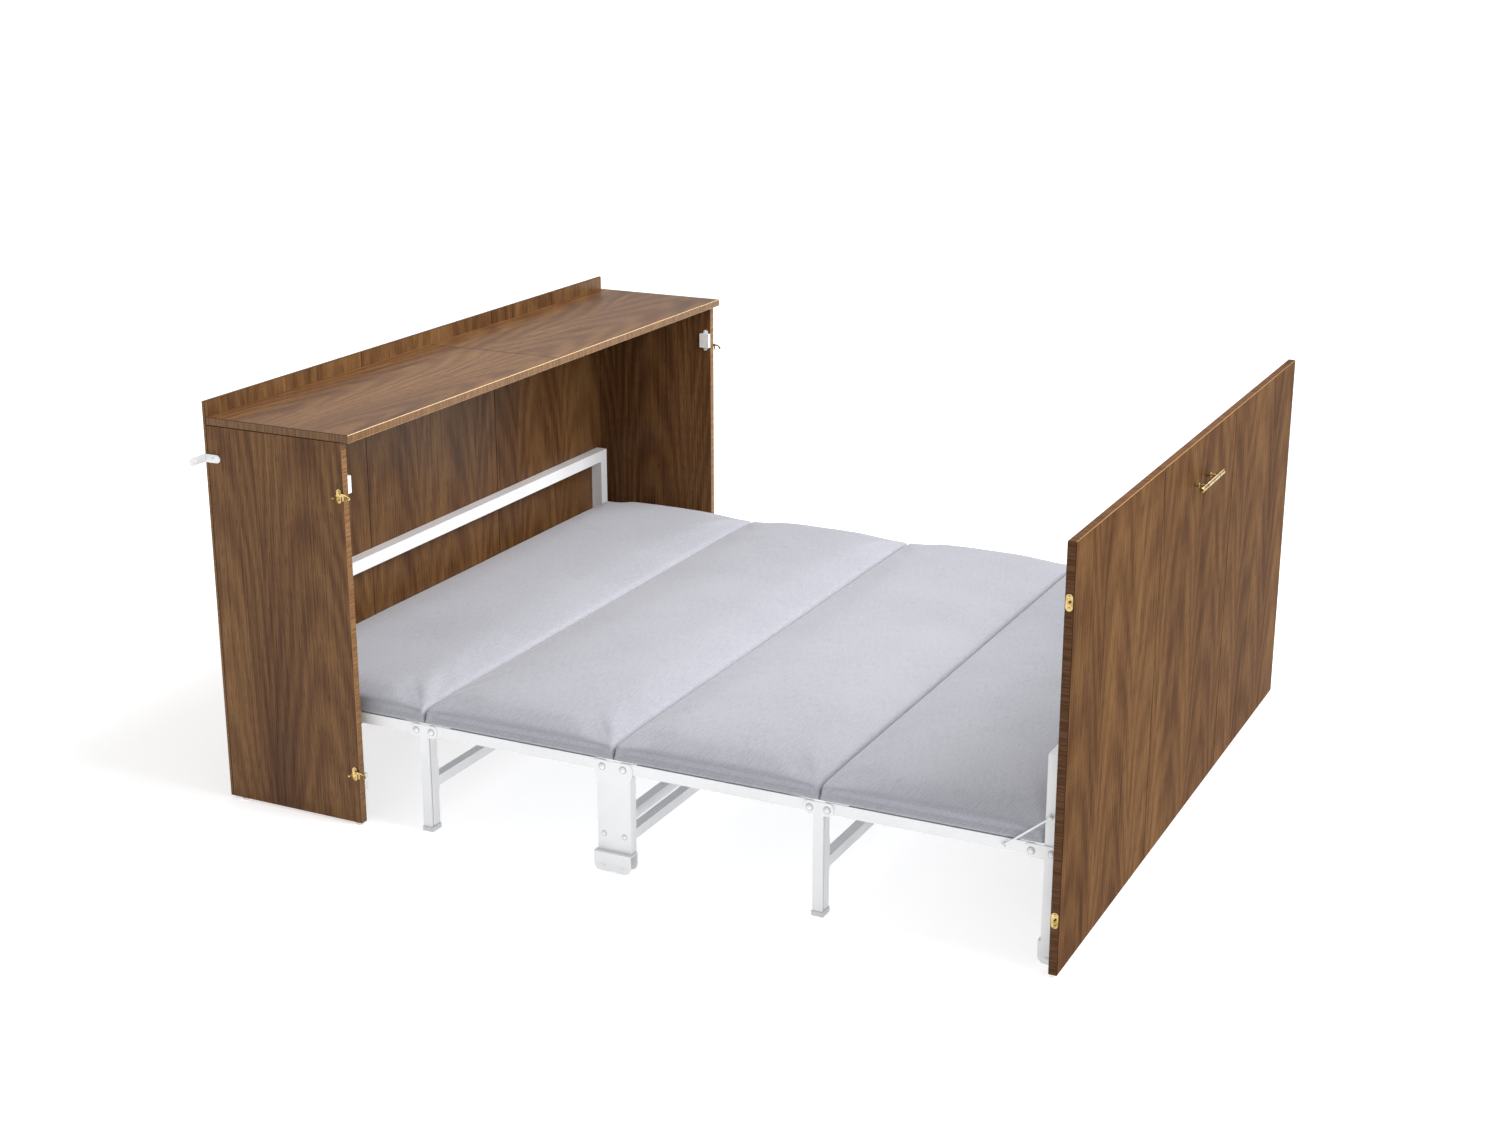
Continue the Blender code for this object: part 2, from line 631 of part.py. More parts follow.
def make_wall_brackets():
    """Angle brackets that tie the cabinet's back corners to the wall."""
    heights = (WALL_BRACKET_BOTTOM, WALL_BRACKET_BOTTOM + WALL_BRACKET_WIDTH)
    middle = WALL_BRACKET_BOTTOM + WALL_BRACKET_WIDTH / 2
    leg_in = SIDE_OUT + SEAT_GAP
    side_hole = circle((WALL_BRACKET_SIDE_HOLE, middle), WALL_BRACKET_HOLE_RADIUS, ROUND_SIDES)
    wall_hole = circle((SIDE_OUT + WALL_BRACKET_OUTER_HOLE, middle), WALL_BRACKET_HOLE_RADIUS, ROUND_SIDES)
    for side in ("left", "right"):
        side_leg = plate(bracket_leg((WELD, WALL_BRACKET_SIDE_LEG), heights),
                         (leg_in, leg_in + WALL_BRACKET_METAL), [side_hole])
        outer_x = (leg_in + WALL_BRACKET_METAL / 2, SIDE_OUT + WALL_BRACKET_OUTER_LEG)
        outer_leg = plate(bracket_leg(outer_x, (heights[0] + WELD, heights[1] - WELD)),
                          (0, WALL_BRACKET_METAL), [wall_hole], plane="wall")
        bracket = on_side(welded([side_leg, outer_leg]), side)
        add_node("wall_bracket_" + side, bracket, "white_steel", "cabinet")


def bracket_leg(u_span, v_span):
    """A bracket's leg, square at its fold and round at its free end."""
    (fold, free), (low, high) = u_span, v_span
    radius = (high - low) / 2
    round_end = arc((free - radius, (low + high) / 2), radius, -90, 90, 2 * CORNER_STEPS)
    return [(fold, low), *round_end, (fold, high)]


def dome(start, radius, height):
    """Profile of a low round head, from inside its seat outwards."""
    return [(start - WELD, radius)] + [(start + height * up, radius * out) for up, out in DOME_SHARES]


def fold_bolt(depth):
    """A fold bolt: a nut inside the lug, a shank and a domed head outside the plate."""
    inner = LUG_IN - SEAT_GAP
    return turned(0, (0, depth, AXIS_HEIGHT),
                  [(inner - NUT_LENGTH, NUT_RADIUS), (inner, NUT_RADIUS), (inner, BOLT_RADIUS),
                   (PLATE_OUT - WELD, BOLT_RADIUS), *dome(PLATE_OUT, BOLT_HEAD_RADIUS, BOLT_HEAD_HEIGHT)])


def stay_stud(place, seat):
    """A headed stud that carries one end of a stay rod."""
    rod_out = STAY_OUT + SEAT_GAP
    profile = [(seat - WELD, STAY_STUD_RADIUS), (rod_out, STAY_STUD_RADIUS),
               (rod_out, STAY_HEAD_RADIUS), (rod_out + STAY_HEAD_HEIGHT, STAY_HEAD_RADIUS)]
    return turned(0, (0, *place), profile)


def end_frame(back, bottom, pivot, extras, open_below):
    """A square-tube frame across one end of the bed, with the plates and bolts that carry the
    first or last section.  The bores run into each other and are open at the feet of the posts."""
    front = back + END_TUBE
    inside = (back + END_TUBE_WALL, front - END_TUBE_WALL)
    post_line = (back + front) / 2
    rail_bottoms = (END_FRAME_HEIGHT - END_TUBE, LOWER_RAIL_HEIGHT)
    far_edge = back + WELD if pivot > back else front - WELD
    near_edge = pivot + math.copysign(PLATE_REACH, pivot - post_line)
    plate_heights = (AXIS_HEIGHT - PLATE_HALF_HEIGHT, AXIS_HEIGHT + PLATE_HALF_HEIGHT)
    hinge = plate(rounded_outline((near_edge, far_edge), plate_heights, PLATE_CORNER), (PLATE_IN, PLATE_OUT))
    post_bolt = turned(0, (0, post_line, AXIS_HEIGHT), dome(PLATE_OUT, BOLT_HEAD_RADIUS, BOLT_HEAD_HEIGHT))
    post = block((POST_IN, WELDED_OUT), (back, front), (bottom, END_FRAME_HEIGHT))
    rail_half = POST_IN + WELD
    rails = [block((-rail_half, rail_half), (back + WELD, front - WELD), (low, low + END_TUBE - WELD))
             for low in rail_bottoms]
    sides = pairs([post, hinge, post_bolt, fold_bolt(pivot), *extras])
    whole = welded([rails[0], *sides, rails[1]])
    post_bore = block((POST_IN + END_TUBE_WALL, WELDED_OUT - END_TUBE_WALL), inside,
                      (open_below, END_FRAME_HEIGHT - END_TUBE_WALL))
    reach = (POST_IN + WELDED_OUT) / 2
    rail_bores = [block((-reach, reach), (inside[0] + WELD, inside[1] - WELD),
                        (low + END_TUBE_WALL + WELD, low + END_TUBE - END_TUBE_WALL - 2 * WELD))
                  for low in rail_bottoms]
    return bored(whole, [*pairs([post_bore]), *rail_bores])


def section_rail(number):
    """One side rail: a square tube whose outer wall runs on at both ends as a pierced lug."""
    first, last = section_pivots(number)
    start, end = rail_ends(number)
    holes = [circle((bolt, AXIS_HEIGHT), BOLT_HOLE_RADIUS, ROUND_SIDES) for bolt in (first, last)]
    wall = plate(rounded_outline((first - LUG_REACH, last + LUG_REACH), (RAIL_BOTTOM, RAIL_TOP), LUG_CORNER),
                 (LUG_IN, FRAME_OUT), holes)
    tube = block((RAIL_IN, FRAME_OUT - WELD), (start, end), (RAIL_BOTTOM + WELD, RAIL_TOP - WELD))
    return welded([wall, tube])


def rail_ends(number):
    """The depths at which a side rail's tube gives way to its lugs."""
    first, last = section_pivots(number)
    lugs = [VALLEY_LUG_LENGTH, MOUNTAIN_LUG_LENGTH]
    if number % 2 == 0:
        lugs.reverse()
    return first + lugs[0], last - lugs[1]


def make_section(number):
    """A section of the bed: its welded frame, its plywood deck and its pad."""
    body = "section_%d" % number
    first, last = section_pivots(number)
    tube_starts = (first + SECTION_TUBE_INSET, (first + last - SECTION_TUBE_WIDTH) / 2,
                   last - SECTION_TUBE_INSET - SECTION_TUBE_WIDTH)
    shapes = pairs([section_rail(number)])
    if number == SECTION_COUNT:
        shapes += pairs([stay_stud(STAY_FOOT, FRAME_OUT)])
    bores = pairs([rail_bore(number)])
    reach = RAIL_IN + WELD
    for start in tube_starts:
        depths = (start, start + SECTION_TUBE_WIDTH)
        shapes.append(block((-reach, reach), depths, (RAIL_BOTTOM + 2 * WELD, SECTION_TUBE_TOP)))
        bores.append(block((-RAIL_IN - RAIL_WIDTH / 2, RAIL_IN + RAIL_WIDTH / 2),
                           (depths[0] + RAIL_WALL, depths[1] - RAIL_WALL),
                           (RAIL_BOTTOM + 3 * WELD + RAIL_WALL, SECTION_TUBE_TOP - RAIL_WALL)))
    add_node(body + "_frame", bored(welded(shapes), bores), "white_steel", body)

    deck_half = RAIL_IN - DECK_SIDE_GAP
    deck_depths = (first - DECK_OVERHANG, last + DECK_OVERHANG)
    deck = block((-deck_half, deck_half), deck_depths, (DECK_BOTTOM, DECK_TOP))
    add_node(body + "_deck", deck, "birch", body)

    pad = pad_shape(JOINT_LINES[number - 1] + PAD_GAP / 2, JOINT_LINES[number] - PAD_GAP / 2)
    add_node(body + "_pad", pad, "pad_cloth", body, smooth=True)


def rail_bore(number):
    """What is cut out of a side rail to make it a tube."""
    start, end = rail_ends(number)
    return block((RAIL_IN + RAIL_WALL, LUG_IN - WELD), (start - CUT_OVERRUN, end + CUT_OVERRUN),
                 (RAIL_BOTTOM + WELD + RAIL_WALL, RAIL_TOP - WELD - RAIL_WALL))


def pad_shape(start, end):
    """A foam pad: flat below, upright sides that draw in between two seams, and a crowned top."""
    bm = bmesh.new()
    middle, half_short, half_long = (start + end) / 2, (end - start) / 2, FRAME_OUT
    long_shares = [-share for share in reversed(PAD_SHARES_LONG[1:])] + PAD_SHARES_LONG
    short_shares = [-share for share in reversed(PAD_SHARES_SHORT[1:])] + PAD_SHARES_SHORT
    shoulder = PAD_BASE + PAD_SIDE_HEIGHT
    grid = []
    for share_x in long_shares:
        row = []
        for share_y in short_shares:
            rise_y = (1 - abs(share_y) ** PAD_CROWN_POWER_SHORT) ** (1 / PAD_CROWN_POWER_SHORT)
            rise_x = (1 - abs(share_x) ** PAD_CROWN_POWER_LONG) ** (1 / PAD_CROWN_ROOT_LONG)
            x, y = inside_corner(share_x * half_long, share_y * half_short, half_long, half_short)
            row.append(bm.verts.new((x, y, shoulder + PAD_CROWN * rise_x * rise_y)))
        grid.append(row)
    for row, next_row in zip(grid, grid[1:]):
        for place in range(len(row) - 1):
            bm.faces.new((row[place], row[place + 1], next_row[place + 1], next_row[place]))
    rim = [row[0] for row in grid] + grid[-1][1:] + [row[-1] for row in reversed(grid[:-1])]
    rim += list(reversed(grid[0][1:-1]))
    waist_height = PAD_BASE + PAD_SIDE_HEIGHT / 2
    waist = [bm.verts.new((vert.co.x * (1 - PAD_DRAWN_IN / half_long),
                           vert.co.y * (1 - PAD_DRAWN_IN / half_short), waist_height)) for vert in rim]
    foot = [bm.verts.new((vert.co.x, vert.co.y, PAD_BASE)) for vert in rim]
    bridge(bm, rim, waist)
    bridge(bm, waist, foot)
    bm.faces.new(foot)
    bmesh.ops.translate(bm, vec=(0, -middle, 0), verts=bm.verts)
    return bm


def inside_corner(x, y, half_x, half_y):
    """Pull a point of a rectangle in to the round of its corner."""
    over_x, over_y = abs(x) - (half_x - PAD_CORNER), abs(y) - (half_y - PAD_CORNER)
    if over_x <= 0 or over_y <= 0:
        return x, y
    shrink = max(over_x, over_y) / math.hypot(over_x, over_y)
    return (math.copysign(half_x - PAD_CORNER + over_x * shrink, x),
            math.copysign(half_y - PAD_CORNER + over_y * shrink, y))


def make_leg(number, line):
    """The pair of legs at a joint that rises, welded to the tube between them, and their feet."""
    body = "leg_%d_%d" % (number, number + 1)
    half = LEG_WIDTH / 2
    leg_bottom = FOOT_CAP_HEIGHT + SEAT_GAP
    spacer = block((LEG_OUT - WELD, PLATE_IN + WELD), (line - SPACER_WIDTH / 2, line + SPACER_WIDTH / 2),
                   (leg_bottom + WELD, LEG_TOP - WELD))
    tube = block((LEG_IN, LEG_OUT), (line - half, line + half), (leg_bottom, LEG_TOP))
    flange = block((LEG_IN - FLANGE_THICKNESS, LEG_IN + WELD), (line - half + WELD, line + half - WELD),
                   (FLANGE_BOTTOM, FLANGE_TOP))
    bolts = [fold_bolt(line - MOUNTAIN_HALF_PITCH), fold_bolt(line + MOUNTAIN_HALF_PITCH)]
    tube_end = LEG_IN - FLANGE_THICKNESS + WELD
    cross_depths = (line - LEG_TUBE_SIZE / 2 + 2 * WELD, line + LEG_TUBE_SIZE / 2 - 2 * WELD)
    cross_heights = (LEG_TUBE_HEIGHT, LEG_TUBE_HEIGHT + LEG_TUBE_SIZE)
    cross_tube = block((-tube_end, tube_end), cross_depths, cross_heights)
    whole = welded([cross_tube, *pairs([flange, tube, spacer, leg_plate(line, leg_bottom), *bolts])])
    inner_half = half - LEG_WALL
    leg_bore = block((LEG_IN + LEG_WALL, LEG_OUT - LEG_WALL), (line - inner_half, line + inner_half),
                     (leg_bottom - CUT_OVERRUN, LEG_TOP + CUT_OVERRUN))
    reach = (LEG_IN + LEG_OUT) / 2
    cross_bore = block((-reach, reach), (cross_depths[0] + LEG_WALL, cross_depths[1] - LEG_WALL),
                       (cross_heights[0] + LEG_WALL, cross_heights[1] - LEG_WALL))
    add_node(body + "_frame", bored(whole, [*pairs([leg_bore]), cross_bore]), "white_steel", body)

    cap_x = (LEG_IN - FOOT_CAP_LIP, PLATE_OUT + FOOT_CAP_LIP)
    cap = rounded_outline(cap_x, (0, FOOT_CAP_HEIGHT), FOOT_CAP_LIP)
    cap_depths = (line - half - FOOT_CAP_LIP, line + half + FOOT_CAP_LIP)
    for side in ("left", "right"):
        foot = on_side(plate(cap, cap_depths, plane="wall"), side)
        add_node("%s_foot_%s" % (body, side), foot, "grey_plastic", body)


def leg_plate(line, leg_bottom):
    """The T-shaped outer plate of a leg, whose head holds the two fold bolts."""
    reach = MOUNTAIN_HALF_PITCH + PLATE_REACH
    low, high = AXIS_HEIGHT - PLATE_HALF_HEIGHT, AXIS_HEIGHT + PLATE_HALF_HEIGHT
    outline = []
    for depth, height, start in ((line + reach - PLATE_CORNER, low + PLATE_CORNER, -90),
                                 (line + reach - PLATE_CORNER, high - PLATE_CORNER, 0),
                                 (line - reach + PLATE_CORNER, high - PLATE_CORNER, 90),
                                 (line - reach + PLATE_CORNER, low + PLATE_CORNER, 180)):
        outline += arc((depth, height), PLATE_CORNER, start, start + 90, CORNER_STEPS)
    half = LEG_WIDTH / 2
    outline += [(line - half, low), (line - half, leg_bottom), (line + half, leg_bottom), (line + half, low)]
    return plate(outline, (PLATE_IN, PLATE_OUT))


def make_carriage():
    """The wheeled pair of columns under the joint that stays low, welded to two tubes."""
    bolts = (CARRIAGE_LINE - VALLEY_HALF_PITCH, CARRIAGE_LINE + VALLEY_HALF_PITCH)
    reach = VALLEY_HALF_PITCH + CARRIAGE_PLATE_REACH
    top_plate = plate(rounded_outline((CARRIAGE_LINE - reach, CARRIAGE_LINE + reach),
                                      (AXIS_HEIGHT - CARRIAGE_PLATE_BELOW, AXIS_HEIGHT + PLATE_HALF_HEIGHT),
                                      PLATE_CORNER), (PLATE_IN, PLATE_OUT))
    column_half = COLUMN_WIDTH / 2
    column = block((COLUMN_IN, WELDED_OUT), (CARRIAGE_LINE - column_half, CARRIAGE_LINE + column_half),
                   (CARRIAGE_BRACKET_HEIGHT - WELD, COLUMN_TOP))
    rivet = dome(WELDED_OUT, RIVET_RADIUS, RIVET_HEIGHT)
    rivets = [turned(0, (0, bolt, RIVET_PLACE), rivet) for bolt in bolts]
    outer = FRAME_OUT + CARRIAGE_BRACKET_PROUD
    axles = {"back": CARRIAGE_LINE - CARRIAGE_AXLE_HALF_PITCH,
             "front": CARRIAGE_LINE + CARRIAGE_AXLE_HALF_PITCH}
    bracket = wheel_bracket(outer, CARRIAGE_LINE, CARRIAGE_BRACKET_LENGTH, CARRIAGE_BRACKET_HEIGHT,
                            list(axles.values()))
    sides = pairs([column, top_plate, *rivets, *map(fold_bolt, bolts), *bracket])
    tube_end = COLUMN_IN + WELD
    tubes, tube_bores = [], []
    for line in (CARRIAGE_LINE - CARRIAGE_TUBE_HALF_PITCH, CARRIAGE_LINE + CARRIAGE_TUBE_HALF_PITCH):
        depths = (line - CARRIAGE_TUBE_SIZE / 2, line + CARRIAGE_TUBE_SIZE / 2)
        heights = (CARRIAGE_TUBE_HEIGHT, CARRIAGE_TUBE_HEIGHT + CARRIAGE_TUBE_SIZE)
        tubes.append(block((-tube_end, tube_end), depths, heights))
        middle = (COLUMN_IN + WELDED_OUT) / 2
        tube_bores.append(block((-middle, middle), (depths[0] + COLUMN_WALL, depths[1] - COLUMN_WALL),
                                (heights[0] + COLUMN_WALL, heights[1] - COLUMN_WALL)))
    whole = welded([tubes[0], *sides, tubes[1]])
    inner_half = column_half - COLUMN_WALL
    column_bore = block((COLUMN_IN + COLUMN_WALL, WELDED_OUT - COLUMN_WALL),
                        (CARRIAGE_LINE - inner_half, CARRIAGE_LINE + inner_half),
                        (CARRIAGE_BRACKET_HEIGHT + COLUMN_WALL, COLUMN_TOP + CUT_OVERRUN))
    whole = bored(whole, [*pairs([column_bore]), *tube_bores])
    add_node("carriage_frame", whole, "white_steel", "carriage")
    for side in ("left", "right"):
        for place, line in axles.items():
            make_wheel("carriage_wheel_%s_%s" % (side, place), "carriage", side, outer, line)


def wheel_bracket(outer, line, length, height, axles):
    """The shapes of a folded steel channel over one or two wheels, and of its axles."""
    start, end = line - length / 2, line + length / 2
    inner = outer - BRACKET_WIDTH
    web_bottom = height - BRACKET_METAL
    outline = [(end - WELD, web_bottom + WELD), (start + WELD, web_bottom + WELD)]
    outline += arc((start + WELD + CHEEK_CORNER, BRACKET_FLOOR_GAP + CHEEK_CORNER), CHEEK_CORNER, 180, 270,
                   CORNER_STEPS)
    if len(axles) > 1:
        quarter = length / 8
        outline += [(line - quarter, BRACKET_FLOOR_GAP), (line, BRACKET_FLOOR_GAP + CHEEK_DIP),
                    (line + quarter, BRACKET_FLOOR_GAP)]
    outline += arc((end - WELD - CHEEK_CORNER, BRACKET_FLOOR_GAP + CHEEK_CORNER), CHEEK_CORNER, 270, 360,
                   CORNER_STEPS)
    inner_cheek = plate(outline, (inner + WELD, inner + BRACKET_METAL))
    outer_cheek = plate(outline, (outer - BRACKET_METAL, outer - WELD))
    web = block((inner, outer), (start, end), (web_bottom, height))
    seats = (inner + 2 * WELD, outer - 2 * WELD)
    pin = [(inner - AXLE_HEAD_HEIGHT, AXLE_HEAD_RADIUS), (seats[0], AXLE_HEAD_RADIUS),
           (seats[0], AXLE_RADIUS), (seats[1], AXLE_RADIUS),
           (seats[1], AXLE_HEAD_RADIUS), (outer + AXLE_HEAD_HEIGHT, AXLE_HEAD_RADIUS)]
    return [web, inner_cheek, outer_cheek, *[turned(0, (0, axle, WHEEL_HEIGHT), pin) for axle in axles]]


def make_wheel(name, body, side, bracket_out, line):
    """A small plastic roller that turns on its axle inside the bracket."""
    far = bracket_out - BRACKET_METAL - WHEEL_SIDE_GAP
    near = far - WHEEL_WIDTH
    bore = AXLE_RADIUS + SEAT_GAP
    profile = [(near, bore), (near, WHEEL_RADIUS - WHEEL_ROUNDING), (near + WHEEL_ROUNDING, WHEEL_RADIUS),
               (far - WHEEL_ROUNDING, WHEEL_RADIUS), (far, WHEEL_RADIUS - WHEEL_ROUNDING), (far, bore)]
    wheel = turned_with_bore((0, line, WHEEL_HEIGHT), profile, 2 * ROUND_SIDES)
    x = math.copysign((near + far) / 2, 1 if side == "right" else -1)
    add_node(name, on_side(wheel, side), "grey_plastic", body, own_origin=(x, line, WHEEL_HEIGHT),
             smooth=True)


def make_end_frames():
    """The head frame inside the cabinet and the foot frame, which stands on two wheels."""
    head = end_frame(HEAD_TUBE_BACK, GLIDE_HEIGHT, HEAD_PIVOT, [], GLIDE_HEIGHT - CUT_OVERRUN)
    add_node("head_frame", head, "white_steel", "cabinet")
    bracket = wheel_bracket(WELDED_OUT, FOOT_WHEEL_LINE, FOOT_BRACKET_LENGTH, FOOT_BRACKET_HEIGHT,
                            [FOOT_WHEEL_LINE])
    extras = [stay_stud(STAY_HEAD, WELDED_OUT), *bracket]
    foot = end_frame(FOOT_TUBE_BACK, FOOT_BRACKET_HEIGHT - WELD, FOOT_PIVOT, extras,
                     FOOT_BRACKET_HEIGHT - BRACKET_METAL - CUT_OVERRUN)
    add_node("foot_frame", foot, "white_steel", "foot")
    for side in ("left", "right"):
        make_wheel("foot_wheel_" + side, "foot", side, WELDED_OUT, FOOT_WHEEL_LINE)


def make_front_panel():
    """The cabinet's front: three boards fixed to the foot frame."""
    for place, x_span in board_thirds().items():
        bm = block(x_span, (PANEL_BACK, PANEL_FRONT), (PANEL_FLOOR_GAP, PANEL_TOP), BOARD_ARRIS)
        add_node("front_panel_" + place, bm, "walnut", "foot")


def make_handle():
    """A turned bar on two stepped posts."""
    bar_depth = PANEL_FRONT + HANDLE_STANDOFF
    collars = []
    for line in (-HANDLE_PITCH / 2, HANDLE_PITCH / 2):
        low, high = line - HANDLE_COLLAR_LENGTH / 2, line + HANDLE_COLLAR_LENGTH / 2
        collars += [(low, HANDLE_BAR_RADIUS), (low, HANDLE_COLLAR_RADIUS),
                    (high, HANDLE_COLLAR_RADIUS), (high, HANDLE_BAR_RADIUS)]
    half = HANDLE_LENGTH / 2
    profile = [(-half, HANDLE_END_RADIUS), (-half + HANDLE_END_LENGTH, HANDLE_BAR_RADIUS), *collars,
               (half - HANDLE_END_LENGTH, HANDLE_BAR_RADIUS), (half, HANDLE_END_RADIUS)]
    shapes = [turned(0, (0, bar_depth, HANDLE_HEIGHT), profile, FINE_SIDES)]
    post = [(SEAT_GAP, HANDLE_BASE_RADIUS), (HANDLE_BASE_LENGTH, HANDLE_BASE_RADIUS),
            (HANDLE_BASE_LENGTH, HANDLE_NECK_RADIUS), (HANDLE_STANDOFF, HANDLE_NECK_RADIUS)]
    for x in (-HANDLE_PITCH / 2, HANDLE_PITCH / 2):
        shapes.append(turned(1, (x, PANEL_FRONT, HANDLE_HEIGHT), post, FINE_SIDES))
    add_node("handle", welded(shapes), "brass", "foot", smooth=True)


def screwed_plate(line, middle, length, width, screw_half_pitch):
    """A small plate with round ends on a board's edge or face, and its two screw heads."""
    outline = rounded_outline((line - width / 2, line + width / 2),
                              (middle - length / 2, middle + length / 2), width / 2)
    head = dome(LATCH_PLATE_OUT, SCREW_HEAD_RADIUS, SCREW_HEAD_HEIGHT)
    heads = [turned(0, (0, line, height), head) for height in (middle - screw_half_pitch,
                                                               middle + screw_half_pitch)]
    return [plate(outline, (SIDE_OUT + SEAT_GAP, LATCH_PLATE_OUT)), *heads]


def make_hook_plate(side, place):
    """The base plate of a hook latch, with its screws and the pin that the hook turns on."""
    middle = LATCH_HEIGHTS[place]
    shapes = screwed_plate(LATCH_PLATE_LINE, middle, LATCH_PLATE_LENGTH, LATCH_PLATE_WIDTH,
                           LATCH_SCREW_HALF_PITCH)
    end = HOOK_OUT + SEAT_GAP
    shapes.append(turned(0, (0, HOOK_PIVOT_LINE, middle + HOOK_PIVOT_ABOVE),
                         [(LATCH_PLATE_OUT - WELD, HOOK_PIN_RADIUS), (end, HOOK_PIN_RADIUS),
                          (end, SCREW_HEAD_RADIUS), (end + SCREW_HEAD_HEIGHT, SCREW_HEAD_RADIUS)]))
    add_node("hook_plate_%s_%s" % (side, place), on_side(welded(shapes), side), "brass", "cabinet")


def make_hook(side, place):
    """A hook arm: it drops over the panel's stud, has a ball at its tip and a thumb knob behind."""
    pivot = (HOOK_PIVOT_LINE, LATCH_HEIGHTS[place] + HOOK_PIVOT_ABOVE)

    def at(share):
        return pivot[0] + share[0] * HOOK_REACH, pivot[1] + share[1] * HOOK_REACH

    arm = plate([at(share) for share in HOOK_OUTLINE_SHARES], (HOOK_IN, HOOK_OUT),
                [circle(pivot, HOOK_PIN_RADIUS + SEAT_GAP, ROUND_SIDES)])
    middle = (HOOK_IN + HOOK_OUT) / 2
    rings = [math.radians(angle) for angle in BALL_RING_ANGLES]
    ball_profile = [(HOOK_BALL_RADIUS * math.sin(ring), HOOK_BALL_RADIUS * math.cos(ring))
                    for ring in rings]
    ball_middle = LATCH_PLATE_OUT + RUNNING_GAP + ball_profile[-1][0]    # clears the stud's plate
    ball = turned(0, (ball_middle, *at(HOOK_BALL_SHARE)), ball_profile)
    knob_profile = [(HOOK_KNOB_LENGTH * along, HOOK_KNOB_RADIUS * out) for along, out in KNOB_SHARES]
    knob = turned(0, (middle, *at(HOOK_KNOB_SHARE)), knob_profile)
    x = math.copysign(middle, 1 if side == "right" else -1)
    add_node("hook_%s_%s" % (side, place), on_side(welded([arm, ball, knob]), side), "brass", "cabinet",
             own_origin=(x, *pivot), smooth=True)


def make_stud_plate(side, place):
    """A plate on the front panel's edge with the headed stud that a hook drops over."""
    line = (PANEL_BACK + PANEL_FRONT) / 2
    middle = LATCH_HEIGHTS[place] - STUD_BELOW_LATCH
    shapes = screwed_plate(line, middle, STUD_PLATE_LENGTH, STUD_PLATE_WIDTH, STUD_SCREW_HALF_PITCH)
    neck = HOOK_OUT + SEAT_GAP
    shapes.append(turned(0, (0, line, middle), [(LATCH_PLATE_OUT - WELD, STUD_RADIUS), (neck, STUD_RADIUS),
                                                (neck, STUD_HEAD_RADIUS),
                                                (neck + STUD_HEAD_HEIGHT, STUD_HEAD_RADIUS)]))
    add_node("stud_plate_%s_%s" % (side, place), on_side(welded(shapes), side), "brass", "foot")


def make_stay(side):
    """A stay rod: an eye round the rail's stud and an open hook that hangs on the post's stud."""
    run, rise = STAY_HEAD[0] - STAY_FOOT[0], STAY_HEAD[1] - STAY_FOOT[1]
    length = math.hypot(run, rise)
    slope = Matrix.Rotation(math.atan2(rise, run), 2)
    hole = STAY_STUD_RADIUS + SEAT_GAP
    half = STAY_WIDTH / 2
    neck = math.degrees(math.asin(half / STAY_EYE_RADIUS))
    steps = 3 * CORNER_STEPS
    outline = arc((0, 0), STAY_EYE_RADIUS, neck, 360 - neck, steps)
    outline += arc((length, 0), hole, 180 + neck, STAY_HOOK_LIP, steps)
    outline += arc((length, 0), STAY_EYE_RADIUS, STAY_HOOK_LIP, 180 - neck, steps)
    placed = []
    for points in (outline, circle((0, 0), hole, ROUND_SIDES)):
        sloped = [slope @ Vector(point) for point in points]
        placed.append([(STAY_FOOT[0] + point.x, STAY_FOOT[1] + point.y) for point in sloped])
    rod = plate(placed[0], (STAY_IN, STAY_OUT), [placed[1]])
    x = math.copysign((STAY_IN + STAY_OUT) / 2, 1 if side == "right" else -1)
    add_node("stay_" + side, on_side(rod, side), "white_steel", "section_4", own_origin=(x, *STAY_FOOT))


def make_bed():
    """Everything, from the cabinet to the foot."""
    make_cabinet_boards()
    make_catches()
    make_wall_brackets()
    make_end_frames()
    for number in range(1, SECTION_COUNT + 1):
        make_section(number)
    make_leg(1, JOINT_LINES[1])
    make_leg(3, JOINT_LINES[3])
    make_carriage()
    make_front_panel()
    make_handle()
    for side in ("left", "right"):
        make_stay(side)
        for place in LATCH_HEIGHTS:
            make_hook_plate(side, place)
            make_hook(side, place)
            make_stud_plate(side, place)


def print_fold():
    """Say how far the bed folds, as the joints' limits follow from the sizes."""
    first, last = section_pivots(1)
    travel = PANEL_BACK - (CABINET_DEPTH + PANEL_CLOSED_GAP)
    angle = math.degrees(math.acos(1 - travel / (SECTION_COUNT * (last - first))))
    print("fold angle %.4f degrees, panel travel %.4f m" % (angle, travel))
    slope = math.atan2(STAY_HEAD[1] - STAY_FOOT[1], STAY_FOOT[0] - STAY_HEAD[0])
    print("rest angle of the stay %.3f degrees" % math.degrees(slope))
    for body, (x, depth, height) in BODY_ORIGINS.items():
        print("%-10s y %.6f z %.6f" % (body, BACK_Y - depth, height))


clear_scene()
EMPTIES = new_empties()
make_bed()
print_fold()
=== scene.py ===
"""The looks of a bed that folds up into a sideboard.

The frame brings every hard piece at its real size.  This add-on gives each of them a finish,
makes the four foam pads, adds the small fastenings, and sets up the light and the camera.
Metres, +Z up.  The cabinet stands at +Y and the foot with its handle faces -Y.
"""

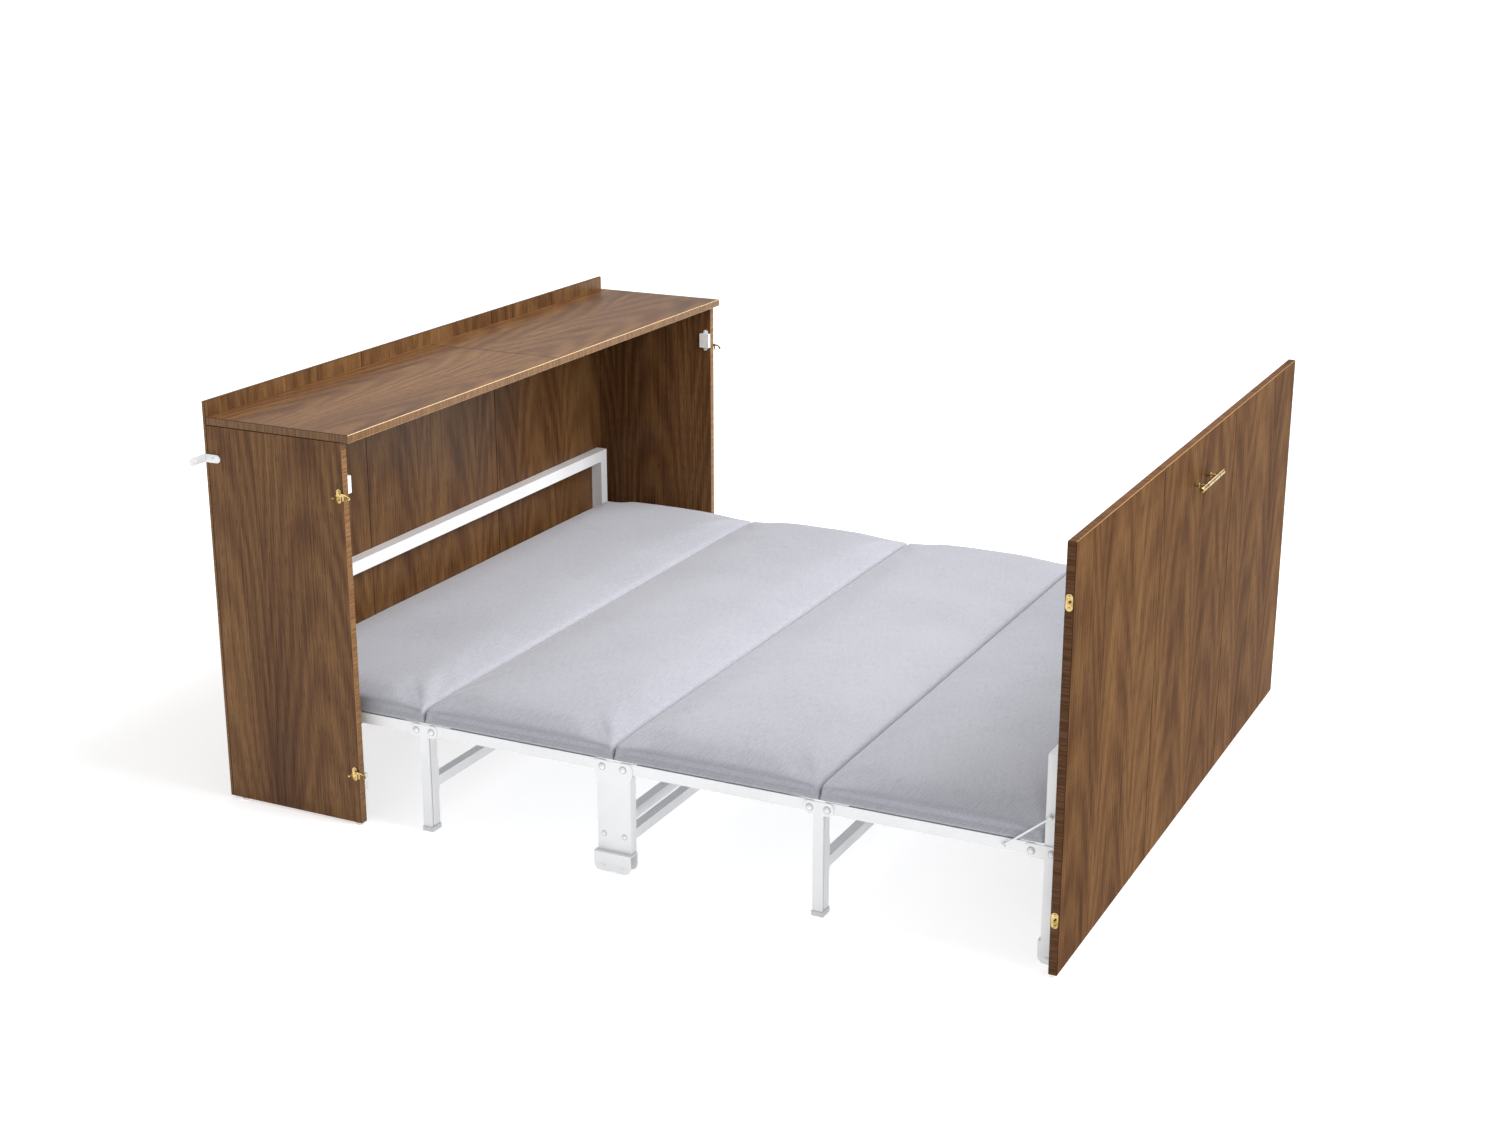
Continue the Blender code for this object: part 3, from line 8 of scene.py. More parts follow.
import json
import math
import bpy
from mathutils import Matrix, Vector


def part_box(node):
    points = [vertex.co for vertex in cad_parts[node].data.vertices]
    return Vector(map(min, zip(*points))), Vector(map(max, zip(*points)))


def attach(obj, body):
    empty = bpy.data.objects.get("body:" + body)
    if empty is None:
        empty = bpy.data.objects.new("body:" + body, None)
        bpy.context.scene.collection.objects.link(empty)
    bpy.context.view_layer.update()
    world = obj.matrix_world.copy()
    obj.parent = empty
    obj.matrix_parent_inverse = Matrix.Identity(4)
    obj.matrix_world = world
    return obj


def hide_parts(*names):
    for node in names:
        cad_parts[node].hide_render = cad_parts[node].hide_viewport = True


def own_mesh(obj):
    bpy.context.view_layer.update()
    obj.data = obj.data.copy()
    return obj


bl_info = {
    "name": "Folding Cabinet Bed",
    "version": (1, 0, 0),
    "blender": (4, 5, 0),
    "location": "3D View > Sidebar > Folding Bed",
    "description": "Finishes, pads, fastenings, light and camera for a bed that folds into a sideboard",
    "category": "Object",
}

import bmesh
import bpy
from bpy.props import FloatProperty, FloatVectorProperty, IntProperty, PointerProperty
from mathutils import Matrix, Vector, noise

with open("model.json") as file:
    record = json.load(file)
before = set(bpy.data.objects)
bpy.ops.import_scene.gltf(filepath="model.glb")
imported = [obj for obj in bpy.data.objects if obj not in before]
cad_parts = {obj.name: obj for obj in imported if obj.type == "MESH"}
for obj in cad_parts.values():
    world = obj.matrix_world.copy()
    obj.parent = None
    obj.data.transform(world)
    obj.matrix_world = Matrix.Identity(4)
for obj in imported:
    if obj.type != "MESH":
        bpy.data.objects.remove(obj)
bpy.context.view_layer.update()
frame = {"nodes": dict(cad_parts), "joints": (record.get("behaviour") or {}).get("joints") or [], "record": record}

MM = 0.001
BOTH_SIDES = (-1, 1)
LEVELS = ("upper", "lower")
PAD_COUNT = 4

# The body that carries the bolts of each fold
BOLT_BODIES = {
    "bed_fold": "cabinet",
    "leg_1_2_fold": "leg_1_2",
    "section_2_fold": "leg_1_2",
    "carriage_fold": "carriage",
    "section_3_fold": "carriage",
    "leg_3_4_fold": "leg_3_4",
    "section_4_fold": "leg_3_4",
    "foot_fold": "foot",
}

# How each board's pattern lies: across the grain, along the grain, through the board
UPRIGHT_SIDE = ("Y", "Z", "X")
UPRIGHT_FRONT = ("X", "Z", "Y")
LYING_TOP = ("Y", "X", "Z")
LYING_BATTEN = ("Z", "X", "Y")
LYING_DECK = ("X", "Y", "Z")


def linear(code):
    """An sRGB code such as #AABBCC as linear red, green, blue and an alpha of one."""
    channels = [int(code[place:place + 2], 16) / 255 for place in (1, 3, 5)]
    return tuple(c / 12.92 if c <= 0.04045 else ((c + 0.055) / 1.055) ** 2.4 for c in channels) + (1.0,)


def length(name, description, default, smallest=0.0, largest=10.0):
    """A size that the user can change."""
    return FloatProperty(name=name, description=description, default=default, min=smallest,
                         max=largest, precision=4, subtype="DISTANCE", unit="LENGTH")


def share(name, description, default, largest=1.0):
    """A plain amount that the user can change."""
    return FloatProperty(name=name, description=description, default=default, min=0.0, max=largest)


def point(name, description, default):
    """A place that the user can change."""
    return FloatVectorProperty(name=name, description=description, default=default, subtype="XYZ",
                               unit="LENGTH")


def colour(name, description, code):
    """A colour that the user can change."""
    return FloatVectorProperty(name=name, description=description, default=linear(code), size=4,
                               min=0.0, max=1.0, subtype="COLOR")


# What a user may change

class StageSettings(bpy.types.PropertyGroup):
    """Light, backdrop and camera."""
    backdrop: colour("Backdrop", "Colour of the floor and of the light all round", "#FFFFFF")
    floor_half: length("Floor", "From the middle of the floor to its edge", 40.0, 1.0, 1000.0)
    surround: share("Surround", "Strength of the light all round", 0.46, 10.0)
    key_strength: share("Key light", "Strength of the soft light from above the foot", 2.2, 50.0)
    key_softness: FloatProperty(name="Key softness", default=math.radians(50.0), min=0.0, subtype="ANGLE",
                                description="How wide the key light looks from the floor")
    key_place: point("Key light's place", "Where the key light shines from, towards the middle",
                     (1.3, -3.0, 2.5))
    fill_power: FloatProperty(name="Fill light", default=32.0, min=0.0, unit="POWER",
                              description="Power of the light that shines into the cabinet")
    fill_size: length("Fill light's size", "Edge of the square lamp", 1.8)
    fill_place: point("Fill light's place", "Where the fill light hangs", (0.0, -0.5, 1.75))
    fill_target: point("Fill light's target", "The point that the fill light is turned to", (0.0, 1.0, 0.45))
    floor_glow: share("Floor glow", "Light that the floor itself gives, which thins the shadows", 0.55)
    camera_place: point("Camera", "Where the camera stands", (-4.5507, -2.1283, 2.0389))
    camera_heading: FloatProperty(name="Heading", description="Camera's direction from +X towards +Y",
                                  default=math.radians(26.1342), subtype="ANGLE")
    camera_dip: FloatProperty(name="Dip", description="How far the camera looks down",
                              default=math.radians(17.4052), subtype="ANGLE")
    sensor_width: FloatProperty(name="Sensor", description="Width of the camera's picture, in millimetres",
                                default=36.0, min=1.0)
    focal_length: FloatProperty(name="Focal length", description="In millimetres, for that sensor",
                                default=52.72, min=1.0)


class BoardSettings(bpy.types.PropertyGroup):
    """The walnut-patterned boards and the plain plywood."""
    darkest: colour("Darkest grain", "Late-wood lines and pores", "#422815")
    dark: colour("Dark grain", "Between the lines", "#654328")
    middle: colour("Middle grain", "Most of the surface", "#7C5835")
    light: colour("Light grain", "Pale streaks", "#936C44")
    figure_width: length("Figure width", "From the middle of one arched figure to its edge", 0.125, 0.01)
    ring_pitch: length("Ring pitch", "Between two late-wood lines", 0.0155, 0.002)
    sway: length("Sway", "How far the figure sways from side to side", 0.16)
    tremble: length("Tremble", "How far the rings waver", 0.022)
    trunk_tilt: share("Trunk's tilt", "Slope of the cut through the trunk, which arches the rings", 0.085)
    trunk_depth: length("Trunk's depth", "From the trunk's middle to the cut where the tilt starts", 0.045)
    edge: colour("Edge band", "Band on the boards' narrow edges", "#87633F")
    panel_edge: colour("Front panel's edge", "Band on the front panel's narrow edges", "#664935")
    top_edge: colour("Top's edge", "Band on the top's front edge", "#7A5631")
    # Painted highlight: a side's arris colour is lighter than its band, for the glint of light along its edge
    side_arris_highlight: colour("Arris", "Where the band of a side meets its face", "#8C6843")
    back_arris: colour("Back arris", "Where the back boards meet at their seams", "#3E2A1A")
    # Painted highlights: the front panel's light arris colour and the top's bright one stand for the glint of
    # light along those edges
    panel_arris_highlight: colour("Front panel's arris", "Where the front panel's band meets its face", "#99794F")
    top_arris_highlight: colour("Top's arris", "The bright trimmed line along the top", "#D9BE92")
    gloss: share("Roughness", "Roughness of the semi-gloss face", 0.30)
    plywood: colour("Plywood", "Plain birch plywood of the batten", "#C9AA80")
    glue_line: colour("Glue line", "Dark plies on the plywood's edges", "#8E6E48")
    deck: colour("Deck", "Thin grey lacquer on the plywood under the pads", "#B9BABD")
    deck_line: colour("Deck's plies", "Glue lines that show through the grey lacquer", "#96979B")
    batten_ply: length("Batten's ply", "Thickness of one ply of the batten", 0.0022, 0.0005)
    deck_ply: length("Deck's ply", "Thickness of one ply of the decks", 0.0014, 0.0005)


class SteelSettings(bpy.types.PropertyGroup):
    """The powder-coated steel."""
    coat: colour("Coat", "White powder coat", "#F0F1F3")
    peel_size: length("Orange peel", "Width of one bump of the coat", 0.0014, 0.0002)
    gloss: share("Roughness", "Roughness of the coat", 0.34)


class FittingSettings(bpy.types.PropertyGroup):
    """Brass and moulded plastic."""
    brass: colour("Brass", "Polished brass of the handle and latches", "#CDB379")
    brass_tarnish: colour("Tarnish", "Brass where hands don't rub it", "#957C48")
    white_plastic: colour("White plastic", "Magnetic catches and glides", "#EDEDEA")
    roller: colour("Roller", "Grey plastic of the rollers", "#B4B7BA")
    foot: colour("Foot", "Pale plastic of the legs' feet", "#D9DBDD")
    washer: colour("Washer", "Grey plastic rings round the bolt heads", "#C2C5C8")


class PadSettings(bpy.types.PropertyGroup):
    """The four foam pads under their woven covers."""
    cloth: colour("Cover", "Woven cover", "#ADAEB6")
    cloth_shade: colour("Cover in the weave", "Between the threads", "#8F919A")
    thread_pitch: length("Thread pitch", "Between two threads, coarser than life so that it shows", 0.0021,
                         0.0004)
    side_height: length("Side height", "Upright side below the rounded shoulder", 0.032)
    crown: length("Crown", "Rise of the top above the side", 0.030)
    start_share: share("Start share", "How much of the crown there is before the pad swells", 0.86)
    start_inset: length("Start inset", "How much smaller the pad is before it swells", 0.002)
    corner: length("Corner", "Radius of the upright corners", 0.008)
    drawn_in: length("Drawn in", "How far the sides pull in half way up", 0.0006)
    voxel: length("Voxel", "Size of the mesh squares that swell", 0.010, 0.004)
    pressure: share("Pressure", "Pressure inside the cover", 4.0, 50.0)
    frames: IntProperty(name="Frames", description="Steps of the swelling", default=20, min=1, max=60)
    swollen_over: length("Swollen over", "How far the sides press on each other before they stop", 0.0022)
    margin: length("Margin", "How far the cover stays inside the pad's own space", 0.0003)
    tight_share: share("Tight share", "Share of the height over which the lower edge is drawn tight", 0.2)
    tight_width: length("Tight width", "How far in from the ends the lower edge is drawn tight", 0.008)
    cap: length("Cap", "How far a point may move as the pad swells", 0.007)
    evening: IntProperty(name="Evening", default=4, min=0,
                         description="Rounds of smoothing after the swelling")
    unevenness: length("Unevenness", "Height of the soft dips in the foam", 0.0011)
    folded_share: share("Folded share", "Thickness that is left when the bed is folded", 0.20)


class FasteningSettings(bpy.types.PropertyGroup):
    """Bolt heads, washers, rivets, screws, strike plates and glide sleeves."""
    plate_seat: length("Plate seat", "From the rails' outer faces to those of the hinge plates", 0.0033)
    column_seat: length("Column seat", "From the rails' outer faces to those of the columns", 0.0005)
    post_step: length("Post step", "From a fold bolt to the bolt through the end frame's post", 0.0417)
    bolt_radius: length("Bolt head radius", "Domed heads of the fold bolts", 0.0063)
    bolt_height: length("Bolt head height", "Height of the domed heads", 0.0044)
    washer_radius: length("Washer radius", "Middle of the ring round each bolt head", 0.0072)
    washer_thickness: length("Washer thickness", "Width of the ring's round section", 0.0012)
    rivet_radius: length("Rivet radius", "Flat-domed rivets of the carriage", 0.0053)
    rivet_height: length("Rivet height", "Height of the rivets", 0.0025)
    rivet_place: length("Rivet place", "From the floor to the rivets' middle", 0.085)
    rivet_ring_share: share("Rivet ring", "Width of a rivet's ring as a share of a washer's", 0.7)
    axle_radius: length("Axle head radius", "Heads of the rollers' axles", 0.0043)
    axle_height: length("Axle head height", "Height of the axle heads", 0.0015)
    cheek: length("Bracket cheek", "From a roller's side to the outer face of its bracket", 0.003)
    small_screw: length("Small screw radius", "Screws of the latches and studs", 0.0033)
    small_screw_height: length("Small screw height", "Height of these screws", 0.0012)
    latch_metal: length("Latch metal", "Thickness of the hook and stud plates", 0.001)
    hook_screw_step: length("Hook plate's screws", "From the plate's middle to each screw", 0.010)
    stud_screw_step: length("Stud plate's screws", "From the plate's middle to each screw", 0.0115)
    catch_screw: length("Catch screw radius", "Screws of the magnetic catches", 0.0031)
    catch_seat: length("Catch screw seat", "From the catch's outer face to its screws' heads", 0.0027)
    catch_inset: length("Catch screw inset", "From the catch's ends to its screws", 0.0055)
    wall_screw: length("Bracket screw radius", "Screws that hold the wall brackets", 0.0047)
    wall_screw_height: length("Bracket screw height", "Height of these screws", 0.0019)
    bracket_metal: length("Bracket metal", "Thickness of the wall brackets", 0.002)
    bracket_screw_step: length("Bracket screw", "From the wall to the screw in the side panel", 0.0242)
    bracket_hole_step: length("Bracket hole", "From the side panel to the hole for the wall's screw", 0.0346)
    eyelet_radius: length("Eyelet radius", "Middle of the collar round the bracket's hole", 0.0034)
    eyelet_thickness: length("Eyelet thickness", "Width of the collar's round section", 0.0007)
    strike_width: length("Strike plate width", "Half of its width", 0.0055)
    strike_height: length("Strike plate height", "Half of its height", 0.017)
    strike_corner: length("Strike plate corner", "Radius of its corners", 0.003)
    strike_thickness: length("Strike plate thickness", "Thickness of its steel", 0.001)
    strike_arris: length("Strike plate arris", "How much its edge is broken", 0.0003)
    strike_screw_height: length("Strike plate screw", "Height of its flat screw", 0.0006)
    glide_front: length("Front glide", "From the side panel's front edge to the glide's middle", 0.014)
    glide_back: length("Back glide", "From the side panel's back edge to the glide's middle", 0.029)
    sleeve_bore: length("Sleeve bore", "Inner radius of the glide's sleeve", 0.00805)
    sleeve_radius: length("Sleeve radius", "Outer radius of the sleeve", 0.0089)
    sleeve_lip: length("Sleeve lip", "Radius of the sleeve's upper lip", 0.0096)
    sleeve_bottom: length("Sleeve bottom", "From the floor to the sleeve", 0.0003)
    sleeve_top: length("Sleeve top", "From the floor to the lip's upper face", 0.0058)
    recess_share: share("Recess", "Length of the driver's cross as a share of the head's width", 0.58)


# Nodes and meshes

def add_node(tree, kind, inputs=None, stops=(), **settings):
    """Add a node, give its inputs values or links, and a colour ramp its stops."""
    node = tree.nodes.new(kind)
    for name, value in settings.items():
        setattr(node, name, value)
    for key, value in (inputs or {}).items():
        if isinstance(value, bpy.types.NodeSocket):
            tree.links.new(value, node.inputs[key])
        else:
            node.inputs[key].default_value = value
    for number, (place, stop_colour) in enumerate(stops):
        elements = node.color_ramp.elements
        element = elements[number] if number < len(elements) else elements.new(place)
        element.position = place
        element.color = stop_colour
    return node


def new_material(name, roughness, metallic=0.0):
    """A material with a Principled shader, its node tree and its Object coordinates."""
    material = bpy.data.materials.new(name)
    material.use_nodes = True
    tree = material.node_tree
    shader = tree.nodes["Principled BSDF"]
    shader.inputs["Roughness"].default_value = roughness
    shader.inputs["Metallic"].default_value = metallic
    coordinates = add_node(tree, "ShaderNodeTexCoord")
    return material, tree, shader, coordinates


def cad_node(name):
    """One of the frame's hard pieces."""
    if name not in frame["nodes"]:
        raise RuntimeError(f"The frame has no piece called {name}")
    return frame["nodes"][name]


def dress(name, material):
    """Give one of the frame's pieces its finish."""
    mesh = cad_node(name).data
    mesh.materials.clear()
    mesh.materials.append(material)


def nodes_with_slot(slot):
    """Names of the frame's pieces that the record gives one finish."""
    names = [part["node"] for part in frame["record"]["subparts"] if part["material_slot"] == slot]
    if not names:
        raise RuntimeError(f"No piece of the frame has the finish {slot}")
    return names


def shaded(tint, amount):
    """A colour made darker or lighter."""
    return tuple(channel * amount for channel in tint[:3]) + (1.0,)


def repeats(*sizes):
    """A pattern's scale along each axis, from the size of one repeat in metres."""
    return tuple(1 / size for size in sizes)


def joint_place(name):
    """Where one of the frame's joints is."""
    for joint in frame["joints"]:
        if joint["name"] == name:
            return Vector(joint["pos_m"])
    raise RuntimeError(f"The frame has no joint called {name}")


def link_mesh(name, mesh, materials=()):
    """A new object at the origin with this mesh."""
    for material in materials:
        mesh.materials.append(material)
    piece = bpy.data.objects.new(name, mesh)
    bpy.context.scene.collection.objects.link(piece)
    return piece


def evaluated_mesh(piece):
    """The piece's mesh as its modifiers leave it."""
    return bpy.data.meshes.new_from_object(piece.evaluated_get(bpy.context.evaluated_depsgraph_get()))


def keep_piece(piece, body):
    """Let a finished piece ride on a body of the frame."""
    if not piece.data.polygons:
        raise RuntimeError(f"{piece.name} came out empty")
    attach(piece, body)
    return piece


def smooth(mesh):
    """Shade every face of a mesh smooth."""
    mesh.polygons.foreach_set("use_smooth", [True] * len(mesh.polygons))
    mesh.update()


def bridge(bm, loop, next_loop):
    """Close the band between two rounds of points with four-sided faces."""
    for place in range(len(loop)):
        after = (place + 1) % len(loop)
        bm.faces.new((loop[place], loop[after], next_loop[after], next_loop[place]))


def finished_mesh(bm, name):
    """The mesh of a finished form, with its faces turned outwards."""
    bmesh.ops.recalc_face_normals(bm, faces=bm.faces)
    mesh = bpy.data.meshes.new(name)
    bm.to_mesh(mesh)
    bm.free()
    return mesh


# Finishes

def walnut(name, settings, seed, lie, edge, arris, mirror, bright_axis, painted_light_level):
    """Printed walnut laminate, pressed on board and lacquered to a semi-gloss.

    To the eye it gives arched figures a hand wide, fine dark streaks along the grain, short
    pores, a soft reflection that the pores break up, and a plain printed band on the edges. A
    light arris colour on the edge that faces the bright axis is a painted highlight for the glint
    of light there, and the last argument darkens or lightens the whole board as painted light.
    """
    across_axis, along_axis, through_axis = lie
    material, tree, shader, coordinates = new_material(name, settings.gloss)
    shader.inputs["Specular IOR Level"].default_value = mirror
    cut = add_node(tree, "ShaderNodeMapping", {"Vector": coordinates.outputs["Object"],
                                               "Location": (0.31 * seed, 0.17 * seed, 0.23 * seed)})
    place = add_node(tree, "ShaderNodeSeparateXYZ", {0: cut.outputs[0]})
    sheet = add_node(tree, "ShaderNodeCombineXYZ", {0: place.outputs[across_axis],
                                                    1: place.outputs[along_axis], 2: float(seed)}).outputs[0]

    # The arched figure: rings of a slightly tilted trunk, swaying from side to side
    wide = add_node(tree, "ShaderNodeVectorMath", {0: sheet, 1: repeats(385 * MM, 1110 * MM, 1)},
                    operation="MULTIPLY")
    sway = add_node(tree, "ShaderNodeTexNoise", {"Vector": wide.outputs[0], "Scale": 1.0, "Detail": 2.0})
    swayed = add_node(tree, "ShaderNodeMath", {0: sway.outputs[0], 1: settings.sway,
                                                   2: place.outputs[across_axis]}, operation="MULTIPLY_ADD")
    folded = add_node(tree, "ShaderNodeMath", {0: swayed.outputs[0], 1: settings.figure_width},
                      operation="PINGPONG")
    depth = add_node(tree, "ShaderNodeMath", {0: place.outputs[along_axis], 1: settings.trunk_tilt,
                                              2: settings.trunk_depth}, operation="MULTIPLY_ADD")
    trunk = add_node(tree, "ShaderNodeCombineXYZ", {0: folded.outputs[0], 1: depth.outputs[0]})
    distance = add_node(tree, "ShaderNodeVectorMath", {0: trunk.outputs[0]}, operation="LENGTH")
    near = add_node(tree, "ShaderNodeVectorMath", {0: sheet, 1: repeats(62.5 * MM, 417 * MM, 1)},
                    operation="MULTIPLY")
    tremble = add_node(tree, "ShaderNodeTexNoise", {"Vector": near.outputs[0], "Scale": 1.0, "Detail": 3.0})
    uneven = add_node(tree, "ShaderNodeMath", {0: tremble.outputs[0], 1: settings.tremble,
                                               2: distance.outputs["Value"]}, operation="MULTIPLY_ADD")
    turns = add_node(tree, "ShaderNodeMath", {0: uneven.outputs[0], 1: 2 * math.pi / settings.ring_pitch},
                     operation="MULTIPLY")
    rings = add_node(tree, "ShaderNodeMath", {0: turns.outputs[0]}, operation="SINE")

    # Fine streaks, pores drawn coarser than life so that they show, and a slow change of tone
    # from one plank to the next
    narrow = add_node(tree, "ShaderNodeVectorMath", {0: sheet, 1: repeats(4.35 * MM, 455 * MM, 1)},
                      operation="MULTIPLY")
    streaks = add_node(tree, "ShaderNodeTexNoise", {"Vector": narrow.outputs[0], "Scale": 1.0, "Detail": 3.0,
                                                    "Roughness": 0.7})
    tiny = add_node(tree, "ShaderNodeVectorMath", {0: sheet, 1: repeats(1.5625 * MM, 38.5 * MM, 1)},
                    operation="MULTIPLY")
    pores = add_node(tree, "ShaderNodeTexNoise", {"Vector": tiny.outputs[0], "Scale": 1.0, "Detail": 1.0})
    slow = add_node(tree, "ShaderNodeVectorMath", {0: sheet, 1: repeats(133.3 * MM, 1430 * MM, 1)},
                    operation="MULTIPLY")
    tone = add_node(tree, "ShaderNodeTexNoise", {"Vector": slow.outputs[0], "Scale": 1.0, "Detail": 2.0})
    with_rings = add_node(tree, "ShaderNodeMath", {0: rings.outputs[0], 1: 0.042, 2: 0.035},
                          operation="MULTIPLY_ADD")
    with_streaks = add_node(tree, "ShaderNodeMath", {0: streaks.outputs[0], 1: 0.51,
                                                     2: with_rings.outputs[0]}, operation="MULTIPLY_ADD")
    grain = add_node(tree, "ShaderNodeMath", {0: tone.outputs[0], 1: 0.42, 2: with_streaks.outputs[0]},
                     operation="MULTIPLY_ADD")
    # Painted light: the grain colours are scaled by the last argument, so one laminate comes in darker and lighter
    # copies for how light falls on each board
    shades = [shaded(tint, painted_light_level)
              for tint in (settings.darkest, settings.dark, settings.middle, settings.light)]
    face = add_node(tree, "ShaderNodeValToRGB", {0: grain.outputs[0]},
                    stops=zip((0.30, 0.44, 0.55, 0.70), shades))
    pore_depth = add_node(tree, "ShaderNodeMapRange", {"Value": pores.outputs[0], "From Min": 0.34,
                                                       "From Max": 0.44, "To Min": 0.42, "To Max": 1.0})
    pored = add_node(tree, "ShaderNodeMix", {0: pore_depth.outputs[0], 6: shades[0],
                                             7: face.outputs[0]}, data_type="RGBA")

    # Edge bands, told from the faces by the way they look
    looks = add_node(tree, "ShaderNodeSeparateXYZ", {0: coordinates.outputs["Normal"]})
    facing = add_node(tree, "ShaderNodeMath", {0: looks.outputs[through_axis]}, operation="ABSOLUTE")
    is_face = add_node(tree, "ShaderNodeMath", {0: facing.outputs[0], 1: 0.9}, operation="GREATER_THAN")
    is_arris = add_node(tree, "ShaderNodeMath", {0: facing.outputs[0], 1: 0.4}, operation="GREATER_THAN")
    thin = repeats(*(3.333 * MM if axis != through_axis else 71.4 * MM for axis in "XYZ"))
    lines_place = add_node(tree, "ShaderNodeVectorMath", {0: coordinates.outputs["Object"], 1: thin},
                           operation="MULTIPLY")
    lines = add_node(tree, "ShaderNodeTexNoise", {"Vector": lines_place.outputs[0], "Scale": 1.0,
                                                  "Detail": 2.0})
    band = add_node(tree, "ShaderNodeValToRGB", {0: lines.outputs[0]},
                    stops=((0.38, shaded(edge, 0.55)), (0.62, tuple(edge))))
    # Painted highlight: the arris facing the bright axis takes a light colour for the glint of light along that
    # edge (the back boards take a dark one there), and the arrises in the seams between boards take the darkest
    # grain colour
    highlit = add_node(tree, "ShaderNodeMath", {0: looks.outputs[bright_axis]}, operation="ABSOLUTE")
    is_highlit = add_node(tree, "ShaderNodeMath", {0: highlit.outputs[0], 1: 0.4}, operation="GREATER_THAN")
    line = add_node(tree, "ShaderNodeMix", {0: is_highlit.outputs[0], 6: shades[0], 7: tuple(arris)},
                    data_type="RGBA")
    rim = add_node(tree, "ShaderNodeMix", {0: is_arris.outputs[0], 6: band.outputs[0], 7: line.outputs[2]},
                   data_type="RGBA")
    whole = add_node(tree, "ShaderNodeMix", {0: is_face.outputs[0], 6: rim.outputs[2], 7: pored.outputs[2]},
                     data_type="RGBA")
    dull = add_node(tree, "ShaderNodeMath", {0: streaks.outputs[0], 1: 0.12, 2: settings.gloss - 0.05},
                    operation="MULTIPLY_ADD")
    dents = add_node(tree, "ShaderNodeBump", {"Height": pore_depth.outputs[0], "Strength": 0.35,
                                              "Distance": 0.06 * MM})
    tree.links.new(whole.outputs[2], shader.inputs["Base Color"])
    tree.links.new(dull.outputs[0], shader.inputs["Roughness"])
    tree.links.new(dents.outputs[0], shader.inputs["Normal"])
    return material


def birch(name, plywood, glue_line, lie, ply):
    """Rotary-cut birch plywood, sanded and left bare or thinly lacquered.

    To the eye it gives wide-spaced wavy grain on the faces and thin dark glue lines between the
    plies on the edges.
    """
    across_axis, along_axis, through_axis = lie
    material, tree, shader, coordinates = new_material(name, 0.62)
    place = add_node(tree, "ShaderNodeSeparateXYZ", {0: coordinates.outputs["Object"]})
    sheet = add_node(tree, "ShaderNodeCombineXYZ", {0: place.outputs[across_axis],
                                                    1: place.outputs[along_axis]})
    stretched = add_node(tree, "ShaderNodeVectorMath",
                         {0: sheet.outputs[0], 1: repeats(29.4 * MM, 333 * MM, 1)}, operation="MULTIPLY")
    grain = add_node(tree, "ShaderNodeTexNoise", {"Vector": stretched.outputs[0], "Scale": 1.0, "Detail": 4.0,
                                                  "Distortion": 0.6})
    wood = add_node(tree, "ShaderNodeValToRGB", {0: grain.outputs[0]},
                    stops=((0.36, shaded(plywood, 0.8)), (0.64, tuple(plywood))))
    layers = add_node(tree, "ShaderNodeMath", {0: place.outputs[through_axis], 1: ply}, operation="DIVIDE")
    layer = add_node(tree, "ShaderNodeMath", {0: layers.outputs[0]}, operation="FRACT")
    is_glue = add_node(tree, "ShaderNodeMath", {0: layer.outputs[0], 1: 0.22}, operation="LESS_THAN")
    looks = add_node(tree, "ShaderNodeSeparateXYZ", {0: coordinates.outputs["Normal"]})
    facing = add_node(tree, "ShaderNodeMath", {0: looks.outputs[through_axis]}, operation="ABSOLUTE")
    is_edge = add_node(tree, "ShaderNodeMath", {0: facing.outputs[0], 1: 0.5}, operation="LESS_THAN")
    dark = add_node(tree, "ShaderNodeMath", {0: is_edge.outputs[0], 1: is_glue.outputs[0]},
                    operation="MULTIPLY")
    whole = add_node(tree, "ShaderNodeMix", {0: dark.outputs[0], 6: wood.outputs[0],
                                             7: tuple(glue_line)}, data_type="RGBA")
    fibres = add_node(tree, "ShaderNodeBump", {"Height": grain.outputs[0], "Strength": 0.3,
                                               "Distance": 0.2 * MM})
    tree.links.new(whole.outputs[2], shader.inputs["Base Color"])
    tree.links.new(fibres.outputs[0], shader.inputs["Normal"])
    return material


def powder_coat(name, settings):
    """White powder coat, sprayed on steel and baked.

    To the eye it gives a cool white with soft highlights, broken up by a fine orange peel,
    and a slightly greyer tone here and there from handling.
    """
    material, tree, shader, coordinates = new_material(name, settings.gloss)
    handled = add_node(tree, "ShaderNodeTexNoise", {"Vector": coordinates.outputs["Object"],
                                                    "Scale": 1 / (143 * MM), "Detail": 3.0})
    tint = add_node(tree, "ShaderNodeValToRGB", {0: handled.outputs[0]},
                    stops=((0.30, shaded(settings.coat, 0.93)), (0.58, tuple(settings.coat))))
    peel = add_node(tree, "ShaderNodeTexNoise", {"Vector": coordinates.outputs["Object"],
                                                 "Scale": 1 / settings.peel_size, "Detail": 1.0})
    dull = add_node(tree, "ShaderNodeMath", {0: handled.outputs[0], 1: 0.16, 2: settings.gloss - 0.08},
                    operation="MULTIPLY_ADD")
    bumps = add_node(tree, "ShaderNodeBump", {"Height": peel.outputs[0], "Strength": 0.22,
                                              "Distance": 0.12 * MM})
    tree.links.new(tint.outputs[0], shader.inputs["Base Color"])
    tree.links.new(dull.outputs[0], shader.inputs["Roughness"])
    tree.links.new(bumps.outputs[0], shader.inputs["Normal"])
    return material


